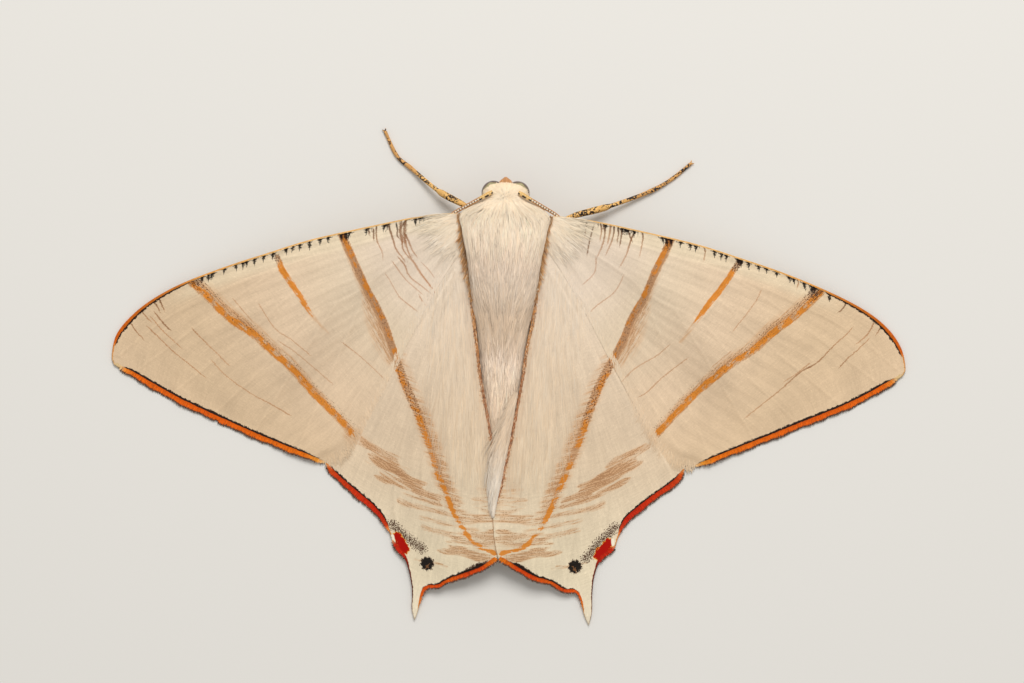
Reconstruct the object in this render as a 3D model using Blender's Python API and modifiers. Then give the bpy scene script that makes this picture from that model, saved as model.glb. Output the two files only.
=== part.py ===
"""A swallow-tailed moth at rest, life size, with its four wings spread flat on the floor.

The head points along +Y, the floor is Z = 0, and +X is the moth's own right-hand side.
Sizes and places are in millimetres, and MM turns them into Blender's metres. A side is +1 or -1, and
a place given for a side is written with X counted outwards from the midline.
"""

import math

import bmesh
import bpy
from mathutils import Vector, geometry

MM = 0.001
OBJECT_NAME = "swallow_tailed_moth"
SIDES = {"right": 1, "left": -1}

# The midline and the wing bases set every place; this moves the model's box centre onto the origin.
MIDLINE_X = -0.535
BASE_Y = 1.29

FLOOR = 0.0
WELD = 1e-6
CURVE_SAMPLES = 200

# Body lengths along the midline
HEAD_BACK, HEAD_FRONT = 13.75, 15.5
THORAX_BACK, THORAX_FRONT = 5.6, 13.45
ABDOMEN_TIP, ABDOMEN_FRONT = -8.0, 5.3

# Sections of a body form: (y, half width, lowest z, highest z)
HEAD_SECTIONS = [
    (13.7, 2.1, 2.0, 4.8),
    (14.4, 2.1, 1.75, 5.0),
    (15.0, 1.95, 1.8, 4.8),
    (15.5, 1.7, 2.0, 4.3),
]
THORAX_SECTIONS = [
    (5.6, 2.7, 1.8, 4.9),
    (7.0, 2.9, 1.65, 5.6),
    (9.0, 3.2, 1.6, 6.1),
    (11.0, 3.6, 1.6, 6.1),
    (12.4, 4.0, 1.65, 5.6),
    (13.0, 3.9, 1.8, 5.2),
    (13.5, 3.1, 2.0, 4.8),
]
ABDOMEN_SECTIONS = [
    (-8.0, 0.7, 1.0, 2.3),
    (-4.0, 1.32, 0.75, 3.15),
    (0.0, 1.78, 0.7, 3.9),
    (3.0, 2.15, 0.8, 4.35),
    (5.3, 2.5, 1.1, 4.5),
]
# How square each form's back and front ends are: 2 is round
HEAD_BLUNT = (6.0, 3.0)
THORAX_BLUNT = (5.0, 4.0)
ABDOMEN_BLUNT = (2.6, 7.0)
ABDOMEN_SEGMENTS = 8
SEGMENT_GROOVE = 0.05
# Faces of each form: (round it, along it)
HEAD_FACES = (28, 16)
THORAX_FACES = (28, 18)
ABDOMEN_FACES = (20, 34)

EYE_CENTRE = (1.02, 14.6, 2.92)
EYE_RADII = (1.03, 1.03, 1.13)
EYE_INNER_X = 0.76
EYE_GAP = 0.22
EYE_FACES = (20, 12)

PALP_PATH = [(0.5, 14.75, 1.3), (0.46, 15.25, 1.25), (0.4, 15.7, 1.6), (0.3, 16.0, 2.15)]
PALP_RADII = [0.26, 0.31, 0.27, 0.14]
PALP_STEP = 0.4

ANTENNA_PATH = [
    (1.05, 14.72, 4.55),
    (1.75, 14.4, 4.55),
    (2.6, 13.85, 4.15),
    (4.25, 12.85, 3.05),
    (7.5, 11.5, 2.55),
    (11.5, 10.2, 1.95),
    (15.6, 9.0, 1.35),
]
ANTENNA_RADII = [0.3, 0.27, 0.26, 0.25, 0.25, 0.25, 0.13]
ANTENNA_STEP = 1.1
ANTENNA_PIT = 3

# Each leg: coxa, trochanter, knee, end of the tibia, two bends of the tarsus and its tip
FORELEG_PATH = {
    "right": [(1.1, 11.5, 1.0), (2.6, 11.6, 1.1), (4.9, 12.2, 1.85), (5.9, 12.7, 1.75),
              (8.9, 13.6, 1.0), (12.2, 14.9, 0.32), (14.1, 16.0, 0.2), (15.9, 17.5, 0.2)],
    "left": [(1.1, 11.6, 1.0), (2.3, 12.3, 1.15), (3.1, 13.1, 1.85), (3.6, 13.45, 1.8),
             (5.75, 14.6, 1.05), (8.1, 16.5, 0.32), (9.4, 17.6, 0.2), (10.5, 19.75, 0.2)],
}
MIDLEG_PATH = [(1.1, 9.9, 1.0), (2.7, 9.6, 1.1), (5.4, 8.8, 1.8), (6.2, 8.3, 1.75),
               (9.4, 6.0, 0.8), (11.4, 3.9, 0.28), (12.4, 2.4, 0.2), (13.1, 0.8, 0.2)]
HINDLEG_PATH = [(1.1, 8.2, 1.0), (2.4, 7.2, 1.1), (4.1, 5.2, 1.7), (4.4, 4.4, 1.65),
                (4.3, 0.4, 0.8), (4.6, -2.6, 0.28), (4.9, -4.6, 0.2), (5.3, -6.8, 0.2)]
LEG_RADII = [0.36, 0.4, 0.4, 0.42, 0.34, 0.27, 0.25, 0.16]
LEG_STEP = 0.9
TUBE_ROUNDING = 2

# Wing outlines, one side each, from the front of the base round to its rear
FOREWING = {
    "right": {
        "costa": [(4.3, 12.45), (10.0, 11.75), (16.0, 10.55), (20.0, 9.42), (24.0, 8.17),
                  (28.0, 6.63), (31.0, 5.17), (33.0, 3.67), (34.2, 2.0), (34.62, 0.3), (34.4, -0.4)],
        "termen": [(34.4, -0.4), (33.0, -1.45), (30.0, -3.17), (26.0, -4.9), (22.0, -6.6),
                   (18.0, -8.2), (16.6, -8.6)],
        "inner": [(16.6, -8.6), (14.9, -8.1), (13.2, -6.4), (9.9, -0.9), (6.5, 5.2), (3.8, 9.8)],
        "reach": 32.0,
    },
    "left": {
        "costa": [(4.3, 12.45), (10.0, 11.6), (16.2, 10.25), (20.0, 9.03), (24.0, 7.67),
                  (28.0, 6.03), (31.0, 4.17), (33.0, 2.0), (33.5, 0.0), (33.3, -0.85)],
        "termen": [(33.3, -0.85), (32.0, -1.65), (28.0, -3.85), (24.0, -5.65), (20.0, -7.3),
                   (16.0, -8.7), (14.9, -8.9)],
        "inner": [(14.9, -8.9), (13.5, -8.2), (12.2, -6.4), (9.2, -0.9), (6.2, 5.2), (3.8, 9.8)],
        "reach": 31.0,
    },
}
HINDWING = {
    "right": {
        "costa": [(3.65, 9.2), (7.5, 5.4), (12.0, 0.4), (15.2, -4.2), (16.0, -6.8), (15.8, -8.8)],
        "termen": [(15.8, -8.8), (15.3, -9.95), (13.2, -11.6), (11.2, -13.3), (10.35, -14.6),
                   (9.9, -15.8), (8.8, -16.8), (8.3, -18.1), (8.15, -19.6), (8.15, -21.2),
                   (7.92, -22.4)],
        "tail": [(7.92, -22.4), (7.5, -21.5), (7.1, -20.1), (6.6, -19.5), (5.6, -19.45),
                 (4.5, -18.85), (3.0, -18.4), (1.3, -17.5), (0.17, -16.7)],
        "inner": [(0.17, -16.7), (0.17, -12.0), (0.3, -9.2), (0.65, -7.0), (1.2, -4.0), (1.7, -1.0),
                  (2.1, 1.2), (2.55, 3.2), (2.95, 5.0), (3.3, 6.6)],
    },
    "left": {
        "costa": [(3.65, 9.2), (7.2, 5.3), (11.4, 0.3), (14.4, -4.3), (15.1, -6.9), (14.9, -8.95)],
        "termen": [(14.9, -8.95), (14.4, -9.9), (12.6, -11.5), (11.0, -12.8), (9.5, -14.5),
                   (8.9, -15.9), (7.9, -17.2), (7.4, -19.0), (7.3, -20.2), (7.32, -21.2),
                   (7.05, -22.3)],
        "tail": [(7.05, -22.3), (6.72, -21.2), (6.4, -19.9), (6.0, -19.4), (5.0, -19.3),
                 (4.0, -18.75), (2.0, -18.0), (1.0, -17.5), (0.17, -16.7)],
        "inner": [(0.17, -16.7), (0.17, -12.0), (0.35, -9.2), (0.75, -7.0), (1.3, -4.0), (1.8, -1.0),
                  (2.2, 1.2), (2.6, 3.2), (2.95, 5.0), (3.3, 6.6)],
    },
}

# Main veins on the right-hand wings; the left-hand ones are fitted to their shorter span
FOREWING_VEINS = [
    [(4.6, 12.2), (10.0, 11.35), (16.0, 10.0), (20.6, 9.0)],
    [(4.6, 11.8), (10.0, 10.6), (15.5, 9.1), (19.4, 7.9), (25.0, 5.7), (30.0, 3.2), (34.0, 0.1)],
    [(15.5, 9.1), (21.0, 8.3), (27.0, 6.6), (31.6, 4.2)],
    [(19.4, 7.9), (24.0, 4.9), (29.0, 1.3), (32.6, -1.3)],
    [(19.4, 7.9), (18.3, 5.9), (16.8, 3.9)],
    [(18.3, 5.9), (22.5, 2.2), (29.4, -3.2)],
    [(4.4, 11.2), (9.0, 8.6), (13.2, 5.6), (16.8, 3.9), (21.0, -0.6), (25.6, -4.8)],
    [(14.6, 4.9), (18.0, -0.2), (21.9, -6.3)],
    [(11.6, 6.8), (14.6, 0.0), (18.0, -7.8)],
    [(4.3, 10.6), (8.0, 5.2), (12.3, -2.2), (15.6, -7.6)],
]
HINDWING_VEINS = [
    [(4.2, 8.4), (8.5, 3.4), (13.0, -2.2), (15.3, -6.0)],
    [(4.0, 7.8), (7.4, 2.6), (11.4, -3.4), (15.0, -9.6)],
    [(7.4, 2.6), (9.8, -3.6), (13.4, -11.0)],
    [(6.6, 1.0), (8.0, -5.0), (9.2, -10.6), (8.9, -15.4), (7.85, -21.6)],
    [(3.7, 7.3), (5.4, 3.6), (6.4, -4.0), (6.6, -12.0), (5.7, -18.9)],
    [(5.4, 3.6), (4.4, -5.0), (3.6, -12.0), (3.0, -17.9)],
    [(3.5, 6.9), (3.2, 2.0), (2.0, -6.0), (1.3, -12.0), (1.0, -17.0)],
]
VEIN_HALF_WIDTH = 0.3
VEIN_STEP = 2.6
VEIN_HEIGHT = 0.16
VEIN_DEPTH = 0.08
MEMBRANE = 0.5
RAISED_OVER = 0.5
FOREWING_EDGE_STEP, HINDWING_EDGE_STEP = 1.5, 1.1
EDGE_CLEAR = 0.12
GRID_STEP = 2.3
GRID_CLEAR = 0.95

# Heights of the wings' lower faces over the floor
FOREWING_HINGE = (4.0, 11.0)
FOREWING_HINGE_Z = 3.7
FOREWING_DROOP = 1.1
FOREWING_FLAT = 0.93
APEX_ANGLE, TORNUS_ANGLE = math.radians(-20.0), math.radians(-57.0)
TORNUS_REACH = 23.3
STACK = 1.05
STACK_FULL, STACK_FADE = 0.6, 5.0
STACK_BLEND = 0.5
HINDWING_RIDGE = [
    (-22.4, 0.3), (-19.5, 1.0), (-16.5, 1.9), (-12.0, 2.5), (-7.5, 2.9), (-3.9, 3.1), (0.0, 3.2),
    (3.0, 3.1), (6.0, 2.8), (9.5, 2.4), (14.0, 2.4),
]
HINDWING_FLAT_X = [(-20.0, 9.5), (-16.0, 10.2), (-12.0, 12.0), (-8.0, 13.6), (0.0, 15.4), (12.0, 17.0)]
RIDGE_X = 1.5

CREAM = (0.78, 0.69, 0.55)
PALE_CREAM = (0.82, 0.76, 0.64)
ORANGE_BROWN = (0.5, 0.22, 0.07)
LEG_YELLOW = (0.66, 0.4, 0.12)
EYE_BROWN = (0.06, 0.035, 0.02)
HAIR_ROUGH, WING_ROUGH, EYE_ROUGH = 0.6, 0.5, 0.25


def remove_default_objects():
    for obj in list(bpy.data.objects):
        bpy.data.objects.remove(obj, do_unlink=True)


def new_collection(name):
    collection = bpy.data.collections.new(name)
    bpy.context.scene.collection.children.link(collection)
    return collection


def placed(point, side=1):
    """A point of one side, in millimetres, as a place in the model's frame in metres."""
    return Vector((side * point[0] + MIDLINE_X, point[1] + BASE_Y, point[2])) * MM


def material(name, colour, roughness):
    made = bpy.data.materials.new(name)
    made.use_nodes = True
    shader = made.node_tree.nodes["Principled BSDF"]
    shader.inputs["Base Color"].default_value = (*colour, 1.0)
    shader.inputs["Roughness"].default_value = roughness
    shader.inputs["Metallic"].default_value = 0.0
    return made


def object_from(name, form, collection, colour, roughness=HAIR_ROUGH):
    """A node from a bmesh whose points are already placed, with its own material."""
    mesh = bpy.data.meshes.new(name)
    form.to_mesh(mesh)
    form.free()
    mesh.shade_smooth()
    obj = bpy.data.objects.new(name, mesh)
    collection.objects.link(obj)
    mesh.materials.append(material(name, colour, roughness))
    return obj


def between(table, at):
    """The value of a table of (place, value) pairs at a place, on a smooth curve through them."""
    if at <= table[0][0]:
        return table[0][1]
    if at >= table[-1][0]:
        return table[-1][1]
    i = max(k for k in range(len(table) - 1) if table[k][0] <= at)
    slopes = []
    for k in (i, i + 1):
        before, after = table[max(k - 1, 0)], table[min(k + 1, len(table) - 1)]
        slopes.append((after[1] - before[1]) / (after[0] - before[0]))
    width = table[i + 1][0] - table[i][0]
    t = (at - table[i][0]) / width
    start, end = table[i][1], table[i + 1][1]
    return (
        (1 + 2 * t) * (1 - t) ** 2 * start
        + t * (1 - t) ** 2 * width * slopes[0]
        + t * t * (3 - 2 * t) * end
        + t * t * (t - 1) * width * slopes[1]
    )


def smooth_step(t):
    t = min(max(t, 0.0), 1.0)
    return t * t * (3 - 2 * t)


def along_curve(points, share):
    """The place at a share of a smooth curve that passes through the points at even parameters."""
    at = share * (len(points) - 1)
    axes = range(len(points[0]))
    return tuple(between([(k, p[axis]) for k, p in enumerate(points)], at) for axis in axes)


def spaced(points, step):
    """Places along the smooth curve through the points, about one step apart, both ends included."""
    fine = [Vector(along_curve(points, k / CURVE_SAMPLES)) for k in range(CURVE_SAMPLES + 1)]
    lengths = [0.0]
    for a, b in zip(fine, fine[1:]):
        lengths.append(lengths[-1] + (b - a).length)
    count = max(1, round(lengths[-1] / step))
    places, at = [], 0
    for k in range(count + 1):
        wanted = lengths[-1] * k / count
        while at < len(fine) - 2 and lengths[at + 1] < wanted:
            at += 1
        t = (wanted - lengths[at]) / (lengths[at + 1] - lengths[at])
        places.append(fine[at].lerp(fine[at + 1], min(t, 1.0)))
    return places


def body_form(sections, back, front, faces, blunt, groove=None):
    """A closed form along Y whose width and height follow the sections; blunt squares its two ends."""
    form = bmesh.new()
    bmesh.ops.create_uvsphere(form, u_segments=faces[0], v_segments=faces[1], radius=1.0)
    widths = [(s[0], s[1]) for s in sections]
    lows = [(s[0], s[2]) for s in sections]
    highs = [(s[0], s[3]) for s in sections]
    for vert in form.verts:
        along = vert.co.z
        y = (back + front) / 2 + along * (front - back) / 2
        ring = math.hypot(vert.co.x, vert.co.y)
        power = blunt[0] if along < 0 else blunt[1]
        closing = max(0.0, 1 - abs(along) ** power) ** (1 / power)
        across = (vert.co.x / ring, -vert.co.y / ring) if ring > WELD else (0.0, 0.0)
        low, high = between(lows, y), between(highs, y)
        size = closing * (groove(y) if groove else 1.0)
        middle, tall = (low + high) / 2, (high - low) / 2
        vert.co = placed((size * between(widths, y) * across[0], y, middle + size * tall * across[1]))
    bmesh.ops.recalc_face_normals(form, faces=form.faces)
    return form


def abdomen_rings(y):
    """Each segment bulges a little between two grooves."""
    share = (y - ABDOMEN_TIP) / (ABDOMEN_FRONT - ABDOMEN_TIP) * ABDOMEN_SEGMENTS
    return 1 - SEGMENT_GROOVE * (1 - abs(math.sin(math.pi * share)))


def tube(name, path, radii, side, collection, colour, step=LEG_STEP, extra=0.0):
    """A round limb along a smooth path, flattened where it would pass below the floor."""
    curve = bpy.data.curves.new(name, "CURVE")
    curve.dimensions = "3D"
    curve.bevel_depth = MM
    curve.bevel_resolution = TUBE_ROUNDING
    curve.use_fill_caps = True
    places = spaced([(*p, r) for p, r in zip(path, radii)], step)
    spline = curve.splines.new("POLY")
    spline.points.add(len(places) - 1)
    for point, place in zip(spline.points, places):
        point.co = (*placed(place[:3], side), 1.0)
        point.radius = place[3] + extra
    guide = bpy.data.objects.new(name + "_guide", curve)
    bpy.context.scene.collection.objects.link(guide)
    graph = bpy.context.evaluated_depsgraph_get()
    mesh = bpy.data.meshes.new_from_object(guide.evaluated_get(graph))
    form = bmesh.new()
    form.from_mesh(mesh)
    bmesh.ops.remove_doubles(form, verts=form.verts, dist=WELD)
    for vert in form.verts:
        vert.co.z = max(vert.co.z, FLOOR)
    bmesh.ops.recalc_face_normals(form, faces=form.faces)
    bpy.data.objects.remove(guide, do_unlink=True)
    return object_from(name, form, collection, colour)


def eye_form(side, extra):
    """A domed eye with a flat inner side, where it meets the face; extra grows it all round."""
    form = bmesh.new()
    bmesh.ops.create_uvsphere(form, u_segments=EYE_FACES[0], v_segments=EYE_FACES[1], radius=1.0)
    for vert in form.verts:
        at = [c + (r + extra) * v for c, r, v in zip(EYE_CENTRE, EYE_RADII, vert.co)]
        vert.co = placed(at, side)
    cut = bmesh.ops.bisect_plane(
        form,
        geom=form.verts[:] + form.edges[:] + form.faces[:],
        dist=WELD / 10,
        plane_co=placed((EYE_INNER_X - extra, 0.0, 0.0), side),
        plane_no=(-side, 0.0, 0.0),
        clear_outer=True,
    )
    rim = [edge for edge in cut["geom_cut"] if isinstance(edge, bmesh.types.BMEdge)]
    bmesh.ops.holes_fill(form, edges=rim, sides=0)
    bmesh.ops.recalc_face_normals(form, faces=form.faces)
    return form


def cut_away(target, cutter):
    """Take the cutter's shape out of the target."""
    cutter.hide_render = True
    cutter.display_type = "WIRE"
    cut = target.modifiers.new(cutter.name, "BOOLEAN")
    cut.operation = "DIFFERENCE"
    cut.object = cutter


def linked_faces(first, free):
    """All faces joined to a first one by shared edges; they are taken out of the free ones."""
    group, waiting = [], [first]
    free.discard(first)
    while waiting:
        face = waiting.pop()
        group.append(face)
        for edge in face.edges:
            for near in edge.link_faces:
                if near in free:
                    free.discard(near)
                    waiting.append(near)
    return group


def keep_largest(target):
    """Apply the cuts and keep only the largest closed surface that they leave."""
    graph = bpy.context.evaluated_depsgraph_get()
    cut = bpy.data.meshes.new_from_object(target.evaluated_get(graph))
    form = bmesh.new()
    form.from_mesh(cut)
    free = set(form.faces)
    groups = []
    while free:
        groups.append(linked_faces(next(iter(free)), free))
    groups.sort(key=lambda group: sum(face.calc_area() for face in group))
    loose = [face for group in groups[:-1] for face in group]
    bmesh.ops.delete(form, geom=loose, context="FACES")
    target.modifiers.clear()
    form.to_mesh(target.data)
    form.free()
    bpy.data.meshes.remove(cut)


def outline_of(wing, order, step):
    """The closed outline of a wing, its edges taken in order, each from its own few points."""
    loop = []
    for name in order:
        loop.extend(spaced(wing[name], step)[:-1])
    last = Vector(wing[order[-1]][-1])
    first = Vector(wing[order[0]][0])
    loop.append(last)
    base = max(2, round((first - last).length / step))
    loop.extend(last.lerp(first, k / base) for k in range(1, base))
    return loop


def distance_to_line(point, line):
    best = math.inf
    for a, b in zip(line, line[1:]):
        span = b - a
        t = min(max((point - a).dot(span) / span.length_squared, 0.0), 1.0)
        best = min(best, (point - a - span * t).length)
    return best


def inside(point, loop):
    odd = False
    for a, b in zip(loop, loop[1:] + loop[:1]):
        if (a.y > point.y) != (b.y > point.y):
            if point.x < a.x + (point.y - a.y) / (b.y - a.y) * (b.x - a.x):
                odd = not odd
    return odd


def hindwing_height(x, y):
    """Height of the hindwing's lower face: raised along the body, flat on the floor further out."""
    t = (x - RIDGE_X) / (between(HINDWING_FLAT_X, y) - RIDGE_X)
    return max(0.0, between(HINDWING_RIDGE, y)) * (1 - smooth_step(t))


def forewing_height(x, y, reach, hindwing_loop):
    """Height of the forewing's lower face: down to the floor outwards, and clear of the hindwing."""
    dx, dy = x - FOREWING_HINGE[0], y - FOREWING_HINGE[1]
    turn = (APEX_ANGLE - math.atan2(dy, dx)) / (APEX_ANGLE - TORNUS_ANGLE)
    turn = min(max(turn, 0.0), 1.0)
    flat_from = FOREWING_FLAT * (reach + (TORNUS_REACH - reach) * turn)
    left = max(0.0, 1 - math.hypot(dx, dy) / flat_from)
    slope = FOREWING_HINGE_Z * left**FOREWING_DROOP
    point = Vector((x, y))
    away = 0.0
    if not inside(point, hindwing_loop):
        away = distance_to_line(point, hindwing_loop + hindwing_loop[:1])
    over = 1 - smooth_step((away - STACK_FULL) / STACK_FADE)
    stacked = (hindwing_height(x, y) + STACK) * over
    blend = STACK_BLEND * over + WELD
    near = max(blend - abs(slope - stacked), 0.0) / blend
    return max(slope, stacked) + near * near * blend / 4


def fitted_veins(veins, right, own):
    """The right-hand wing's veins, stretched over another outline with the same edges."""
    def reach(wing, axis, pick):
        return pick(p[axis] for edge in wing.values() if isinstance(edge, list) for p in edge)

    spans = []
    for axis in (0, 1):
        low, high = reach(right, axis, min), reach(right, axis, max)
        own_low, own_high = reach(own, axis, min), reach(own, axis, max)
        spans.append((low, own_low, (own_high - own_low) / (high - low)))
    return [
        [tuple(own_low + (p[axis] - low) * s for axis, (low, own_low, s) in enumerate(spans)) for p in vein]
        for vein in veins
    ]


def wing(name, side, loop, veins, height, collection):
    """A membrane with raised veins, triangulated once so that both faces match."""
    lines = [spaced(vein, VEIN_STEP) for vein in veins]
    points = list(loop)
    edges = []
    for line in lines:
        for shift in (-VEIN_HALF_WIDTH, 0.0, VEIN_HALF_WIDTH):
            run = []
            for k, at in enumerate(line):
                ahead = line[min(k + 1, len(line) - 1)] - line[max(k - 1, 0)]
                at = at + Vector((-ahead.y, ahead.x)).normalized() * shift
                if inside(at, loop) and distance_to_line(at, loop + loop[:1]) > EDGE_CLEAR:
                    run.append(len(points))
                    points.append(at)
            edges.extend(zip(run, run[1:]))
    lows = [min(p[a] for p in loop) for a in (0, 1)]
    highs = [max(p[a] for p in loop) for a in (0, 1)]
    for row in range(int((highs[1] - lows[1]) / GRID_STEP) + 1):
        for column in range(int((highs[0] - lows[0]) / GRID_STEP) + 1):
            shifted = column + 0.5 * (row % 2)
            at = Vector((lows[0] + shifted * GRID_STEP, lows[1] + row * GRID_STEP))
            if inside(at, loop) and all(
                distance_to_line(at, line) > GRID_CLEAR for line in [*lines, loop + loop[:1]]
            ):
                points.append(at)
    found = geometry.delaunay_2d_cdt(points, edges, [list(range(len(loop)))], 1, MM)
    form = bmesh.new()
    group = form.verts.layers.deform.verify()
    full = MEMBRANE + VEIN_HEIGHT + VEIN_DEPTH
    verts = []
    for at in found[0]:
        vein = max(0.0, 1 - min(distance_to_line(at, line) for line in lines) / VEIN_HALF_WIDTH)
        low = height(at.x, at.y)
        depth = vein * VEIN_DEPTH * smooth_step(low / RAISED_OVER)
        vert = form.verts.new(placed((at.x, at.y, low - depth), side))
        vert[group][0] = (MEMBRANE + depth + vein * VEIN_HEIGHT) / full
        verts.append(vert)
    for corners in found[2]:
        form.faces.new([verts[k] for k in corners])
    for face in form.faces:
        face.normal_update()
        if face.normal.z < 0:
            face.normal_flip()
    obj = object_from(name, form, collection, CREAM, WING_ROUGH)
    obj.vertex_groups.new(name="thickness")
    shell = obj.modifiers.new("membrane", "SOLIDIFY")
    shell.thickness = full * MM
    shell.offset = 1.0
    shell.vertex_group = "thickness"
    return obj


def add_face(parts, cutters):
    """The head with its eyes, antennae and palps; the head is hollowed where eyes and antennae sit."""
    form = body_form(HEAD_SECTIONS, HEAD_BACK, HEAD_FRONT, HEAD_FACES, HEAD_BLUNT)
    head = object_from("head", form, parts, PALE_CREAM)
    pit_path, pit_radii = ANTENNA_PATH[:ANTENNA_PIT], ANTENNA_RADII[:ANTENNA_PIT]
    for name, side in SIDES.items():
        object_from("eye_" + name, eye_form(side, 0.0), parts, EYE_BROWN, EYE_ROUGH)
        cut_away(head, object_from("eye_socket_" + name, eye_form(side, EYE_GAP), cutters, EYE_BROWN))
        cut_away(
            head,
            tube("antenna_pit_" + name, pit_path, pit_radii, side, cutters, ORANGE_BROWN, extra=EYE_GAP),
        )
        tube("palp_" + name, PALP_PATH, PALP_RADII, side, parts, ORANGE_BROWN, PALP_STEP)
        tube("antenna_" + name, ANTENNA_PATH, ANTENNA_RADII, side, parts, ORANGE_BROWN, ANTENNA_STEP)
    keep_largest(head)


def add_trunk(parts):
    thorax = body_form(THORAX_SECTIONS, THORAX_BACK, THORAX_FRONT, THORAX_FACES, THORAX_BLUNT)
    object_from("thorax", thorax, parts, PALE_CREAM)
    abdomen = body_form(
        ABDOMEN_SECTIONS, ABDOMEN_TIP, ABDOMEN_FRONT, ABDOMEN_FACES, ABDOMEN_BLUNT, abdomen_rings
    )
    object_from("abdomen", abdomen, parts, PALE_CREAM)


def add_legs(parts):
    for name, side in SIDES.items():
        tube("foreleg_" + name, FORELEG_PATH[name], LEG_RADII, side, parts, LEG_YELLOW)
        tube("midleg_" + name, MIDLEG_PATH, LEG_RADII, side, parts, LEG_YELLOW)
        tube("hindleg_" + name, HINDLEG_PATH, LEG_RADII, side, parts, LEG_YELLOW)


def add_wings(parts):
    for name, side in SIDES.items():
        fore, hind = FOREWING[name], HINDWING[name]
        fore_loop = outline_of(fore, ("costa", "termen", "inner"), FOREWING_EDGE_STEP)
        hind_loop = outline_of(hind, ("costa", "termen", "tail", "inner"), HINDWING_EDGE_STEP)
        fore_veins = fitted_veins(FOREWING_VEINS, FOREWING["right"], fore)
        hind_veins = fitted_veins(HINDWING_VEINS, HINDWING["right"], hind)

        def fore_height(x, y, reach=fore["reach"], below=hind_loop):
            return forewing_height(x, y, reach, below)

        wing("forewing_" + name, side, fore_loop, fore_veins, fore_height, parts)
        wing("hindwing_" + name, side, hind_loop, hind_veins, hindwing_height, parts)


def main():
    remove_default_objects()
    parts = new_collection(OBJECT_NAME)
    cutters = new_collection("cutters")
    add_face(parts, cutters)
    add_trunk(parts)
    add_legs(parts)
    add_wings(parts)


main()
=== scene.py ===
"""The looks of a swallow-tailed moth at rest: scaled wings, fringes, fur, eyes, antennae and legs.

Sizes are in millimetres in the moth's own frame, with the head at +Y and the midline at X = 0. A place
given for one side is written with X counted outwards, and place_on() mirrors it and moves it
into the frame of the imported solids.
"""

import math

import bpy
import numpy as np
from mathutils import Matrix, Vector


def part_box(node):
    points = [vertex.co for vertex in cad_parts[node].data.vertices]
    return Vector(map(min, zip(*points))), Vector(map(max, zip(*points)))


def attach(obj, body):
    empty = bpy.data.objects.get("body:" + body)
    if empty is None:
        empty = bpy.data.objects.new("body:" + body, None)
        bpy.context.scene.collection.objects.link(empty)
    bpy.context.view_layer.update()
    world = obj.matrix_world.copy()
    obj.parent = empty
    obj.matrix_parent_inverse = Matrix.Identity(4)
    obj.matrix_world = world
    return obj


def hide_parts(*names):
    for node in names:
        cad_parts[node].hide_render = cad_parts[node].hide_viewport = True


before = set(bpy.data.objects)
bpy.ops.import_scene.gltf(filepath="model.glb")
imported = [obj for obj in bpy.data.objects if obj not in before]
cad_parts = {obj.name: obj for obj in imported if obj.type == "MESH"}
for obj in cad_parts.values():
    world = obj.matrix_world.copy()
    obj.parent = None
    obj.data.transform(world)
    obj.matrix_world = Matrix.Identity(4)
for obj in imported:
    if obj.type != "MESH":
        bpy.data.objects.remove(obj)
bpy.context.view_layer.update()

MM = 0.001
SIDES = {"right": 1, "left": -1}
THORAX_FRONT = 13.45
thorax_low, thorax_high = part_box("thorax")
MIDLINE = np.array([(thorax_low.x + thorax_high.x) / 2 / MM, thorax_high.y / MM - THORAX_FRONT, 0.0])

# Wing outlines, as in the solids
FOREWING = {
    "right": {
        "costa": [(3.3, 12.55), (5.0, 12.52), (7.0, 12.3), (10.0, 11.78), (16.0, 10.55), (20.0, 9.42), (24.0, 8.17),
                  (28.0, 6.63), (31.0, 5.17), (33.0, 3.67), (34.2, 2.0), (34.62, 0.3), (34.4, -0.4)],
        "termen": [(34.4, -0.4), (33.0, -1.45), (30.0, -3.17), (26.0, -4.9), (22.0, -6.6),
                   (18.0, -8.2), (16.6, -8.6)],
        "inner": [(16.6, -8.6), (14.9, -8.1), (13.2, -6.4), (9.9, -0.9), (6.5, 5.2), (3.9, 9.2), (3.0, 9.6)],
        "reach": 32.0,
    },
    "left": {
        "costa": [(3.3, 12.6), (5.0, 12.6), (7.0, 12.35), (10.0, 11.72), (16.2, 10.25), (20.0, 9.03), (24.0, 7.67),
                  (28.0, 6.03), (31.0, 4.17), (33.0, 2.0), (33.5, 0.0), (33.3, -0.85)],
        "termen": [(33.3, -0.85), (32.0, -1.65), (28.0, -3.85), (24.0, -5.65), (20.0, -7.3),
                   (16.0, -8.7), (14.9, -8.9)],
        "inner": [(14.9, -8.9), (13.5, -8.2), (12.2, -6.4), (9.2, -0.9), (6.2, 5.2), (3.9, 9.0), (3.0, 9.6)],
        "reach": 31.0,
    },
}
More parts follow.
